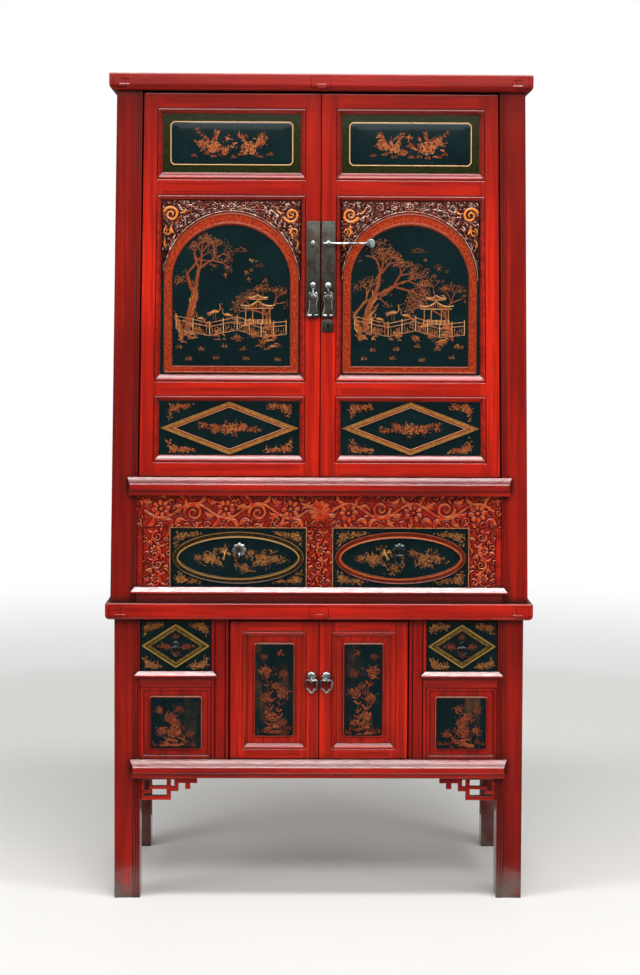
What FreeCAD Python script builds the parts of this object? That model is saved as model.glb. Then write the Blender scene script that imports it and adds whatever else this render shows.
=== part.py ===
"""A tall red lacquered cabinet in two stages, with doors, drawers and iron pulls.

X runs to the right, Y to the back and Z up, in millimetres. The lower stage's front
posts have their faces at Y zero while the pieces are made. At the end everything is
moved so that the middle of the whole box stands on the origin.
"""
import FreeCAD
import Part

import math
import os

Vector = FreeCAD.Vector

# Overall heights and half widths
height = 1930.0
cornice_thickness = 39.0
waist_height = 702.0
waist_thickness = 40.0
lower_half_width = 480.0
lower_depth = 455.0
upper_half_width_bottom = 489.0
upper_half_width_top = 472.5
upper_front_step = 6.0

# Cornice boards at the top and the waist
cornice_overhang = 16.0
cornice_front_overhang = 18.0
waist_overhang = 19.0
waist_front_overhang = 24.0
cornice_face = 27.0
waist_face = 28.0
cornice_edge_radius = 2.5
frame_member_width = 74.0
top_board_thickness = 14.0
top_board_groove = 8.0
top_board_sink = 5.0
batten_width = 48.0
batten_tenon_width = 22.0
batten_tenon_height = 11.0
side_tenon_width = 23.0
side_tenon_height = 12.0
side_tenon_inset = 24.0

# Posts
front_post_width = 60.0
front_post_depth = 50.0
rear_post_width = 52.0
rear_post_depth = 47.0
post_edge_radius = 3.0
post_tenon_width = 26.0
post_tenon_depth = 18.0
post_tenon_height = 22.0
upper_reed_band = 13.0
lower_reed_band = 17.0
reed_count = 3
reed_depth = 2.2

# Rails and their tenons
rail_depth = 34.0
rail_tenon_length = 24.0
rail_tenon_thickness = 12.0
rail_shoulder = 5.0
side_rail_inset = 5.0
side_rail_thickness = 24.0
back_rail_depth = 24.0
back_rail_inset = 4.0
panel_thickness = 9.0
panel_groove = 6.0
panel_inset = 11.0
mid_rail_height = 42.0
sill_rail_height = 36.0
top_side_rail_height = 46.0
bottom_rail_height = 40.0
leg_height = 290.0

# Projecting mouldings planted on the rails
mid_nosing_end_inset = 39.0
mid_nosing_reach = 18.0
mid_nosing_bevel = 16.0
mid_nosing_face = 14.0
mid_nosing_lip_setback = 5.0
bottom_nosing_end_inset = 35.0
bottom_nosing_reach = 24.0
bottom_nosing_bevel = 14.5
bottom_nosing_face = 14.0
nosing_end_slope_share = -0.4
nosing_root = 1.0
nosing_round = 2.0
sill_nosing_lap = 3.0
sill_nosing_height = 14.5
sill_nosing_reach = 9.0
small_nosing_reach = 10.0
small_nosing_height = 12.5
small_nosing_lap = 2.5
ledge_face = 4.0
ledge_round = 1.5

# Upper doors
door_thickness = 28.0
door_side_clearance = 3.0
door_meeting_gap = 2.0
door_top_gap = 5.0
door_bottom_gap = 2.0
outer_stile = 32.0
meeting_stile = 34.0
door_edge_radius = 3.0
door_top_rail = 34.0
door_upper_mid_rail = 35.0
door_lower_mid_rail = 32.0
door_bottom_rail = 32.0
top_panel_share = 0.203
diamond_panel_share = 0.19
door_tenon_length = 18.0
door_tenon_thickness = 10.0
door_tenon_shoulder = 4.0
moulding_width = 13.0
sill_moulding_width = 17.0
panel_depth = 8.0
panel_board_thickness = 10.0
moulding_quirk = 1.5
moulding_bead = 4.5
moulding_back_fall = 1.2
pivot_from_edge = 14.0
pivot_from_face = 9.0
pivot_radius = 5.0
pivot_length = 13.0
pivot_clearance = 0.3

# Fields on the upper doors' panels
top_field_margin = 17.0
top_field_notch = 7.0
top_field_rise = 2.5
arch_band_width = 20.0
arch_crown_band = 30.0
arch_band_rise = 3.0
arch_top_margin = 26.0
arch_bottom_margin = 20.0
arch_rise_share = 0.3965
arch_plain_side = 3.0
arch_carving_rise = 4.0
carving_gap = 0.6
diamond_end_margin = 1.0
diamond_band_width = 13.0
diamond_band_rise = 3.0
diamond_field_rise = 2.0

# Lower doors
lower_door_thickness = 26.0
lower_door_top_gap = 5.0
lower_stile = 28.0
lower_door_top_rail = 24.0
lower_door_bottom_rail = 22.0
lower_field_margin = 16.0
field_corner_radius = 5.0
lower_field_rise = 4.0
muntin_width = 40.0
muntin_place_share = 0.505
muntin_groove_share = 0.2
muntin_depth = 34.0

# Side bays of the lower stage
small_drawer_share = 0.372
bay_rail_height = 37.5
bay_panel_set_back = 6.0
bay_panel_thickness = 12.0
bay_moulding_width = 8.0
bay_field_margin = 15.0
bay_field_rise = 4.0

# Carved surround of the large drawers
surround_top_band = 78.0
surround_side_width = 80.0
surround_set_back = 4.0
surround_thickness = 18.0
large_drawer_opening = 138.0
large_drawer_inner = 32.0

# Drawers
drawer_clearance = 1.5
drawer_seat_gap = 0.3
drawer_front_thickness = 20.0
large_front_set_back = 2.0
drawer_side_thickness = 11.0
drawer_back_thickness = 10.0
drawer_bottom_thickness = 7.0
drawer_bottom_raise = 6.0
drawer_box_inset = 5.0
drawer_box_drop = 16.0
large_drawer_length = 370.0
small_drawer_length = 350.0
small_front_set_back = 3.0
oval_end_margin = 3.75
oval_edge_margin = 7.1
oval_band = 15.0
oval_rise = 3.0
small_diamond_end_margin = 2.5
small_diamond_edge_margin = 7.1
small_diamond_band = 13.0
small_diamond_rise = 3.0
runner_width = 26.0
runner_height = 16.0
guide_thickness = 12.0

# Inner boards of both stages
floor_thickness = 12.0
floor_drop = 2.0
shelf_height_share = 0.488
shelf_thickness = 16.0
shelf_set_back = 46.0
shelf_batten_height = 22.0
shelf_batten_width = 20.0

# Open fretwork brackets under the bottom rail
bracket_length = 134.0
bracket_height = 58.0
bracket_thickness = 12.0
bracket_set_back = 5.0
fret_bar = 9.5
fret_square = 72.0
fret_inner_bar = 6.5
fret_step_drop = 37.0
fret_step_length = 18.0
fret_curl_share = 0.3
fret_strip_drop = 18.0
fret_hook_drop = 32.0
fret_hook_position = 106.0
fret_hook_length = 12.0

# Iron and brass fittings
face_plate_width = 31.0
face_plate_thickness = 2.0
face_plate_height_share = 0.419
face_plate_length = 222.0
face_plate_edge_gap = 1.2
plate_end_ear = 6.0
escutcheon_width = 27.0
escutcheon_height = 31.0
escutcheon_gap = 4.0
keyhole_radius = 3.0
keyhole_slot_width = 3.0
keyhole_slot_length = 9.0
fitting_offset = 17.5
staple_from_top = 51.0
staple_ring_radius = 5.4
staple_wire_radius = 2.0
staple_tang_height = 8.0
staple_thickness = 4.0
staple_stand_off = 4.0
pin_radius = 2.5
pin_length = 100.7
pin_tip_clearance = 2.5
pin_leaf_length = 21.5
pin_leaf_height = 20.0
pin_leaf_thickness = 3.0
pin_leaf_neck = 3.0
pin_leaf_waist_share = 0.7
pin_leaf_shoulder_share = 0.72
pin_leaf_crest_share = 0.25
eye_ring_radius = 4.5
eye_wire_radius = 1.6
eye_thickness = 2.4
eye_tang_height = 5.0
eye_facets = 16
pendant_from_plate_bottom = 73.0
pendant_boss_radius = 8.0
pendant_boss_height = 4.0
pendant_thickness = 3.0
pendant_length = 72.0
pendant_width = 27.0
pendant_body_length = 50.0
pendant_neck_width = 6.0
pendant_hole_radius = 2.6
pendant_lobe_radius = 4.2
pendant_waist_width = 18.0
pendant_foot_notch = 5.0
pendant_shoulder_share = 0.3
pendant_hollow_share = 0.5
pendant_hollow_bulge_share = 0.33
lower_boss_height_share = 0.6
lower_boss_radius = 11.0
lower_ring_width = 33.5
lower_ring_height = 33.0
large_boss_radius = 16.5
large_boss_above_middle = 19.0
large_boss_beside_middle = -2.75
large_ring_width = 28.0
large_ring_height = 27.0
small_boss_radius = 8.5
small_boss_above_middle = 4.6
small_ring_width = 26.0
small_ring_height = 24.0
boss_height = 5.0
boss_rim = 1.2
boss_crown_radius = 4.5
boss_dome_steps = 3
boss_lobes = 16
eye_drop_share = 0.72
ring_bar = 3.2
ring_hang = 0.35
ring_straight = 8.0
ring_lobe_share = 0.38
ring_lobe_lift_share = 0.14
ring_lobe_side_share = 0.25
ring_cheek_angle = 38.0

# Shared allowances
overrun = 5.0
arc_steps = 4

# Places worked out from the sizes above
cornice_bottom = height - cornice_thickness
bottom_rail_bottom = leg_height
bottom_rail_top = bottom_rail_bottom + bottom_rail_height
sill_rail_top = waist_height + sill_rail_height
large_drawer_top = sill_rail_top + large_drawer_opening
mid_rail_bottom = large_drawer_top + surround_top_band
mid_rail_top = mid_rail_bottom + mid_rail_height
waist_bottom = waist_height - waist_thickness
upper_front = -upper_front_step
upper_taper = (upper_half_width_bottom - upper_half_width_top) / (cornice_bottom - waist_height)
rear_post_front = lower_depth - rear_post_depth
upper_post_back = upper_front + front_post_depth
door_bottom = mid_rail_top + door_bottom_gap
door_top = cornice_bottom - door_top_gap
meeting_edge = door_meeting_gap / 2
lower_door_bottom = bottom_rail_top + door_bottom_gap
lower_door_top = waist_bottom - lower_door_top_gap
post_inner = lower_half_width - front_post_width
muntin_inner = muntin_place_share * post_inner
muntin_outer = muntin_inner + muntin_width
small_drawer_bottom = waist_bottom - small_drawer_share * (waist_bottom - bottom_rail_top)
bay_rail_bottom = small_drawer_bottom - bay_rail_height
face_plate_bottom = door_bottom + face_plate_height_share * (door_top - door_bottom)
face_plate_top = face_plate_bottom + face_plate_length
staple_height = face_plate_top - staple_from_top
pendant_eye_height = face_plate_bottom + pendant_from_plate_bottom
lower_boss_height_place = lower_door_bottom + lower_boss_height_share * (lower_door_top - lower_door_bottom)
shelf_height = mid_rail_top + shelf_height_share * (cornice_bottom - mid_rail_top)


def body_half(z):
    """Half the upper stage's width at a height, which tapers upwards."""
    return upper_half_width_bottom - upper_taper * (z - waist_height)


def opening_half(z):
    """Half the clear width between the upper front posts at a height."""
    return body_half(z) - front_post_width


large_drawer_outer = opening_half(sill_rail_top) - surround_side_width
large_boss_side = (large_drawer_inner + large_drawer_outer) / 2 + large_boss_beside_middle
large_boss_height_place = ((sill_rail_top + drawer_seat_gap + large_drawer_top - drawer_clearance) / 2
                           + large_boss_above_middle)
small_boss_height_place = ((small_drawer_bottom + drawer_seat_gap + waist_bottom - lower_door_top_gap) / 2
                           + small_boss_above_middle)


def box(x0, x1, y0, y1, z0, z1):
    """A block between two corners."""
    return Part.makeBox(x1 - x0, y1 - y0, z1 - z0, Vector(x0, y0, z0))


def polygon_face(points):
    """A flat face inside a closed run of straight edges."""
    return Part.Face(Part.makePolygon(points + [points[0]]))


def slab(outline, y0, y1):
    """An upright plate whose outline is given in X and Z."""
    face = polygon_face([Vector(x, y0, z) for x, z in outline])
    return face.extrude(Vector(0, y1 - y0, 0))


def upright(plan, z0, z1):
    """An upright solid over an outline in plan."""
    return polygon_face([Vector(x, y, z0) for x, y in plan]).extrude(Vector(0, 0, z1 - z0))


def mirrored(shape):
    """The same piece on the other side of the middle."""
    return shape.mirror(Vector(0, 0, 0), Vector(1, 0, 0))


def both_sides(pieces):
    """Pieces of the right side with their twins on the left."""
    return pieces + [mirrored(piece) for piece in pieces]


def cut_by(pieces, cutters):
    """Each piece less every cutter that reaches it."""
    result = []
    for piece in pieces:
        for cutter in cutters:
            if piece.BoundBox.intersect(cutter.BoundBox):
                piece = piece.cut(cutter)
        result.extend(piece.Solids)
    return result


def arc_points(centre, radius, start, end, steps=arc_steps):
    """Points along an arc, by the sine and cosine of evenly spread angles in degrees."""
    angles = [math.radians(start + (end - start) * i / steps) for i in range(steps + 1)]
    return [(centre[0] + radius * math.cos(a), centre[1] + radius * math.sin(a)) for a in angles]


def reed_points(start, band, count, depth):
    """Half elliptical reeds side by side: across the band, and in from the face."""
    pitch = band / count
    points = []
    for reed in range(count):
        for step in range(arc_steps + 1):
            angle = math.pi * step / arc_steps
            across = start + pitch * (reed + (1 - math.cos(angle)) / 2)
            points.append((across, depth * (1 - math.sin(angle))))
    return points


def post_section(width, depth, band):
    """A post's section from its outer edge: rounded outside, reeded along the inner edge."""
    corner = [(post_edge_radius - x, post_edge_radius - y)
              for x, y in arc_points((0, 0), post_edge_radius, 0, 90)]
    reeds = reed_points(width - band, band, reed_count, reed_depth)
    return [(0, depth)] + corner + reeds + [(width, depth)]


def front_post(outer, face_y, z0, z1, lean, band):
    """A right front post: its section carried up along the lean."""
    section = post_section(front_post_width, front_post_depth, band)
    unique = [point for i, point in enumerate(section) if point != section[i - 1]]
    face = polygon_face([Vector(outer - across, face_y + back, z0) for across, back in unique])
    return face.extrude(Vector(-lean * (z1 - z0), 0, z1 - z0))


def leaning_slab(inset, thickness, y0, y1, z0, z1):
    """An upright board that follows the upper stage's right side."""
    outline = [(body_half(z0) - inset, z0), (body_half(z1) - inset, z1),
               (body_half(z1) - inset - thickness, z1), (body_half(z0) - inset - thickness, z0)]
    return slab(outline, y0, y1)


def tapered_board(half_at, y0, y1, z0, z1, reach=0):
    """A board across the cabinet whose ends follow a half width that varies with height."""
    low = half_at(z0) + reach
    high = half_at(z1) + reach
    return slab([(-low, z0), (low, z0), (high, z1), (-high, z1)], y0, y1)


def tenoned_rail(half_at, y0, y1, z0, z1):
    """A rail across the cabinet with a tenon on each end."""
    tenon_y = (y0 + y1 - rail_tenon_thickness) / 2
    tenons = tapered_board(half_at, tenon_y, tenon_y + rail_tenon_thickness,
                           z0 + rail_shoulder, z1 - rail_shoulder, rail_tenon_length)
    return tapered_board(half_at, y0, y1, z0, z1).fuse(tenons).removeSplitter()


def nosing(half_length, slope, face_y, profile):
    """A planted moulding: rectangles stacked up a profile of reach and height."""
    wires = []
    for reach, z in profile:
        half = half_length + slope * reach
        corners = [Vector(-half, face_y, z), Vector(half, face_y, z),
                   Vector(half, face_y - reach, z), Vector(-half, face_y - reach, z)]
        wires.append(Part.makePolygon(corners + [corners[0]]))
    return Part.makeLoft(wires, True, True)


def bevelled_profile(top, bottom, reach, bevel, face, lip_setback):
    """A rail nosing's profile: bevel, upright face, rounded lower edge and a set back lip."""
    face_bottom = top - bevel - face
    rounded = arc_points((reach - nosing_round, face_bottom + nosing_round), nosing_round, 0, -90)
    upper = [(nosing_root, top), (reach, top - bevel)]
    lower = [(reach - lip_setback, face_bottom - nosing_root), (reach - lip_setback, bottom)]
    return upper + rounded + lower


def ledge_profile(top, size, reach):
    """A small sill's profile: bevel, narrow upright face and rounded lower edge."""
    rounded = arc_points((reach - ledge_round, top - size + ledge_round), ledge_round, 0, -90)
    return [(nosing_root, top), (reach, top - size + ledge_face)] + rounded


def cornice_profile(bottom, top, reach, face):
    """A cornice member's section: square inside, eased on top and rounded underneath."""
    under = (top - bottom) - face
    eased = arc_points((reach - cornice_edge_radius, top - cornice_edge_radius), cornice_edge_radius, 90, 0)
    rounded = arc_points((reach - under, bottom + under), under, 0, -90)
    return [(-frame_member_width, bottom), (-frame_member_width, top)] + eased + rounded


def framed_top(half, front, rear, bottom, top, reach, front_reach, face):
    """A mitred frame with a floating board and a cross batten, open joints at the front."""
    profile = cornice_profile(bottom, top, reach, face)
    front_share = front_reach / reach
    outer = half + reach
    outer_front = front - front_reach
    inner = half - frame_member_width
    inner_front = front + frame_member_width * front_share
    inner_rear = rear - frame_member_width
    front_section = polygon_face([Vector(-outer, front - p * front_share, z) for p, z in profile])
    front_plan = [(-outer, outer_front), (outer, outer_front), (inner, inner_front), (-inner, inner_front)]
    front_member = front_section.extrude(Vector(2 * outer, 0, 0)).common(upright(front_plan, bottom, top))
    side_section = polygon_face([Vector(half + p, outer_front, z) for p, z in profile])
    side_plan = [(outer, outer_front), (outer, rear), (inner, rear), (inner, inner_front)]
    side_run = side_section.extrude(Vector(0, rear - outer_front, 0))
    side_member = side_run.common(upright(side_plan, bottom, top))
    rear_member = box(-inner, inner, inner_rear, rear, bottom, top)

    tenon_top = top - (top - bottom - side_tenon_height) / 2
    tenon_x = half + reach - side_tenon_inset - side_tenon_width
    tenon = box(tenon_x, tenon_x + side_tenon_width, front - front_reach,
                inner_front, tenon_top - side_tenon_height, tenon_top)
    side_member = side_member.fuse(tenon).removeSplitter()

    board_top = top - top_board_sink
    board = box(-inner - top_board_groove, inner + top_board_groove,
                inner_front - top_board_groove, inner_rear + top_board_groove,
                board_top - top_board_thickness, board_top)
    batten_top = board_top - top_board_thickness
    batten = box(-batten_width / 2, batten_width / 2, inner_front, inner_rear, bottom, batten_top)
    batten_tenon = box(-batten_tenon_width / 2, batten_tenon_width / 2, front - front_reach, inner_front,
                       bottom + rail_shoulder, bottom + rail_shoulder + batten_tenon_height)
    batten = batten.fuse(batten_tenon).removeSplitter()
    front_member = cut_by([front_member], [tenon, mirrored(tenon), board, batten])
    others = cut_by(both_sides([side_member]) + [rear_member], [board])
    return front_member + others, board, batten


def offset_corners(corners, distances):
    """Corners of a four sided opening moved inwards, each side by its own distance."""
    lines = []
    for i in range(len(corners)):
        a, b = corners[i], corners[(i + 1) % len(corners)]
        length = math.hypot(b[0] - a[0], b[1] - a[1])
        normal = (-(b[1] - a[1]) / length, (b[0] - a[0]) / length)
        start = (a[0] + normal[0] * distances[i], a[1] + normal[1] * distances[i])
        lines.append((start, (b[0] - a[0], b[1] - a[1])))
    moved = []
    for i in range(len(corners)):
        (p, r), (q, s) = lines[i - 1], lines[i]
        cross = r[0] * s[1] - r[1] * s[0]
        along = ((q[0] - p[0]) * s[1] - (q[1] - p[1]) * s[0]) / cross
        moved.append((p[0] + r[0] * along, p[1] + r[1] * along))
    return moved


def panel_moulding_profile():
    """A panel moulding's section: share of its width inwards, and depth from the face."""
    bead_start = moulding_quirk / moulding_width
    bead_share = moulding_bead / moulding_width
    points = [(0, panel_depth), (0, moulding_back_fall)]
    for step in range(arc_steps + 1):
        angle = math.pi * step / arc_steps
        share = bead_start + bead_share * (1 - math.cos(angle)) / 2
        points.append((share, moulding_back_fall * (1 - math.sin(angle))))
    slope_start = bead_start + bead_share + moulding_quirk / moulding_width / 2
    slope_end = 1 - moulding_quirk / moulding_width
    points += [(slope_start, moulding_back_fall), (slope_end, panel_depth - moulding_back_fall)]
    points += [(1, panel_depth - moulding_back_fall), (1, panel_depth)]
    return points


def mitred_moulding(corners, widths, face_y):
    """Four lengths round an opening: each section runs along its side and is cut to its mitres."""
    profile = panel_moulding_profile()
    inner = offset_corners(corners, widths)
    lengths = []
    for k, width in enumerate(widths):
        after = (k + 1) % len(corners)
        a, b = corners[k], corners[after]
        side = math.hypot(b[0] - a[0], b[1] - a[1])
        normal = (-(b[1] - a[1]) / side, (b[0] - a[0]) / side)
        section = polygon_face([Vector(a[0] + normal[0] * width * share, face_y + depth,
                                       a[1] + normal[1] * width * share) for share, depth in profile])
        run = section.extrude(Vector(b[0] - a[0], 0, b[1] - a[1]))
        mitred = slab([a, b, inner[after], inner[k]], face_y, face_y + panel_depth)
        lengths.extend(run.common(mitred).Solids)
    return lengths


def rounded_plate(x0, x1, z0, z1, y0, y1, radius):
    """An upright plate with rounded corners."""
    outline = (arc_points((x1 - radius, z0 + radius), radius, -90, 0)
               + arc_points((x1 - radius, z1 - radius), radius, 0, 90)
               + arc_points((x0 + radius, z1 - radius), radius, 90, 180)
               + arc_points((x0 + radius, z0 + radius), radius, 180, 270))
    return slab(outline, y0, y1)


def rhombus(centre, half_length, half_height):
    """A lozenge outline about a centre."""
    x, z = centre
    return [(x - half_length, z), (x, z - half_height), (x + half_length, z), (x, z + half_height)]


def oval_plate(centre, length, tall, y0, y1):
    """A plate with an elliptical outline."""
    x, z = centre
    outline = Part.Ellipse(Vector(x + length / 2, y0, z), Vector(x, y0, z + tall / 2), Vector(x, y0, z))
    return Part.Face(Part.Wire([outline.toShape()])).extrude(Vector(0, y1 - y0, 0))


def cylinder(base, direction, radius, length):
    """A round bar from a point along a direction."""
    return Part.makeCylinder(radius, length, base, direction)


def eye_plate(x, seat_y, ring_y, z, ring_radius, wire_radius, thickness, tang_height):
    """A hammered eye that stands out from a seat: a ring with a tang behind it, bored across."""
    outer = ring_radius + wire_radius
    tang_angle = math.degrees(math.asin(tang_height / 2 / outer))
    outline = (arc_points((ring_y, z), outer, tang_angle, 360 - tang_angle, eye_facets)
               + [(seat_y, z - tang_height / 2), (seat_y, z + tang_height / 2)])
    bore = arc_points((ring_y, z), ring_radius - wire_radius, 0, 360, eye_facets)[1:]
    left = x - thickness / 2
    plates = [polygon_face([Vector(left, y, height_at) for y, height_at in points])
              for points in (outline, bore)]
    return plates[0].cut(plates[1]).extrude(Vector(thickness, 0, 0)).Solids[0]


def faceted(rings):
    """A solid with flat faces between rings of corners, closed by its first and last ring."""
    faces = [polygon_face(rings[0]), polygon_face(rings[-1])]
    for low, high in zip(rings, rings[1:]):
        faces.extend(polygon_face([low[k - 1], low[k], high[k], high[k - 1]]) for k in range(len(low)))
    shell = Part.Shell(faces)
    shell.sewShape()
    return Part.Solid(shell)


def hanging_eye(boss_z, radius):
    """The height of an eye that hangs near the lower rim of its boss."""
    return boss_z - eye_drop_share * radius


def boss_with_eye(x, face_y, z, radius, rise, eye_z):
    """A boss of flat lobes: a rim, a dome and a small crown, with an eye at its own height."""
    quarter = [math.pi / 2 * step / boss_dome_steps for step in range(boss_dome_steps + 1)]
    dome = [(boss_crown_radius + (radius - boss_crown_radius) * math.cos(a),
             boss_rim + (rise - boss_rim) * math.sin(a)) for a in quarter]
    rings = [[Vector(x + across, face_y - stand, z + up)
              for across, up in arc_points((0, 0), lobe_radius, 0, 360, boss_lobes)[:-1]]
             for lobe_radius, stand in [(radius, 0)] + dome]
    boss = faceted(rings)
    eye = eye_plate(x, face_y - rise / 2, eye_centre_y(face_y, rise), eye_z, eye_ring_radius, eye_wire_radius,
                    eye_thickness, eye_tang_height)
    return boss.fuse(eye)


def eye_centre_y(face_y, rise):
    """Where the middle of a boss's eye stands in front of the face that carries it."""
    return face_y - rise - eye_ring_radius


def heart_wire(width, tall, straight, top, y):
    """Half arcs of a cloud shaped ring: a straight top, two lobes and a pointed foot."""
    shoulder = Vector(straight / 2, y, top)
    side = Vector(width / 2, y, top - tall * ring_lobe_share)
    lobe = Vector(side.x - (side.x - shoulder.x) * ring_lobe_side_share, y,
                  top - tall * ring_lobe_share * ring_lobe_lift_share)
    foot = Vector(0, y, top - tall)
    cheek_angle = math.radians(ring_cheek_angle)
    cheek = Vector(side.x * math.cos(cheek_angle), y,
                   top - tall * (ring_lobe_share + (1 - ring_lobe_share) * math.sin(cheek_angle)))

    def twin(point):
        return Vector(-point.x, point.y, point.z)

    return Part.Wire([
        Part.makeLine(twin(shoulder), shoulder),
        Part.Arc(shoulder, lobe, side).toShape(),
        Part.Arc(side, cheek, foot).toShape(),
        Part.Arc(foot, twin(cheek), twin(side)).toShape(),
        Part.Arc(twin(side), twin(lobe), twin(shoulder)).toShape(),
    ])


def ring_axis(eye_y, eye_z):
    """The point that a ring's top bar turns about, just above the bottom of its eye."""
    hole = eye_ring_radius - eye_wire_radius
    return Vector(0, eye_y, eye_z - (hole - ring_bar / math.sqrt(2) - ring_hang))


def pull_ring(x, eye_y, eye_z, width, tall):
    """A flat cloud shaped ring whose top bar runs through the eye."""
    axis = ring_axis(eye_y, eye_z)
    front = eye_y - ring_bar / 2
    top = axis.z + ring_bar / 2
    outer = Part.Face(heart_wire(width, tall, ring_straight, top, front))
    inner = Part.Face(heart_wire(width - 2 * ring_bar, tall - 2 * ring_bar, ring_straight - ring_bar,
                                 top - ring_bar, front))
    ring = outer.cut(inner).extrude(Vector(0, ring_bar, 0))
    ring.translate(Vector(x, 0, 0))
    return ring.Solids


def pendant(x, eye_y, eye_z):
    """A hanging bell shaped pull: lobe with a hole, neck, hollow sides and two feet."""
    hole_z = eye_z - eye_ring_radius
    body_top = hole_z + pendant_lobe_radius - (pendant_length - pendant_body_length)
    foot_z = body_top - pendant_body_length
    front = eye_y - pendant_thickness / 2
    half_neck = pendant_neck_width / 2
    half_waist = pendant_waist_width / 2
    half_width = pendant_width / 2
    shoulder_z = body_top - pendant_body_length * pendant_shoulder_share
    hollow_z = body_top - pendant_body_length * pendant_hollow_share

    def at(side, z):
        return Vector(side, front, z)

    edges = [Part.makeLine(at(half_neck, hole_z), at(half_neck, body_top)),
             Part.Arc(at(half_neck, body_top), at(half_waist + half_neck / 2, body_top - half_neck),
                      at(half_waist, shoulder_z)).toShape(),
             Part.Arc(at(half_waist, shoulder_z), at(half_waist + half_neck * pendant_hollow_bulge_share, hollow_z),
                      at(half_width, foot_z + pendant_foot_notch)).toShape(),
             Part.Arc(at(half_width, foot_z + pendant_foot_notch), at(half_width / 2 + half_neck / 2, foot_z),
                      at(half_neck, foot_z + pendant_foot_notch / 2)).toShape(),
             Part.makeLine(at(half_neck, foot_z + pendant_foot_notch / 2),
                           at(0, foot_z + pendant_foot_notch)),
             Part.makeLine(at(0, foot_z + pendant_foot_notch), at(0, hole_z)),
             Part.makeLine(at(0, hole_z), at(half_neck, hole_z))]
    half = Part.Face(Part.Wire(edges)).extrude(Vector(0, pendant_thickness, 0))
    lobe = cylinder(at(0, hole_z), Vector(0, 1, 0), pendant_lobe_radius, pendant_thickness)
    hole = cylinder(at(0, hole_z), Vector(0, 1, 0), pendant_hole_radius, pendant_thickness)
    body = half.fuse([mirrored(half), lobe]).cut(hole).removeSplitter()
    body.translate(Vector(x, 0, 0))
    return body.Solids


def pivot_pins(line_x, y, z0, z1, gap_below, gap_above):
    """Round pins below and above a door, on a line whose X is a function of height."""
    reach = pivot_length
    direction = Vector(line_x(z1) - line_x(z0), 0, z1 - z0).normalize()
    low = Vector(line_x(z0), y, z0)
    high = Vector(line_x(z1), y, z1)
    pins = []
    holes = []
    for point, way, gap in ((low, -direction, gap_below), (high, direction, gap_above)):
        inside = point - way * overrun
        length = overrun + gap + reach
        pins.append(cylinder(inside, way, pivot_radius, length))
        holes.append(cylinder(inside, way, pivot_radius + pivot_clearance, length + pivot_clearance))
    return pins, holes


# Main frame of both stages

def lower_rail_half(z):
    """Half the clear width between the lower front posts, the same at every height."""
    return post_inner


def lower_rear_half(z):
    """Half the clear width between the lower rear posts."""
    return lower_half_width - rear_post_width


def upper_rear_half(z):
    """Half the clear width between the upper rear posts."""
    return body_half(z) - rear_post_width


def post_tenon(x, y, z):
    """A stub tenon that rises from a post into the frame above."""
    return box(x - post_tenon_width / 2, x + post_tenon_width / 2,
               y - post_tenon_depth / 2, y + post_tenon_depth / 2, z, z + post_tenon_height)


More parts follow.
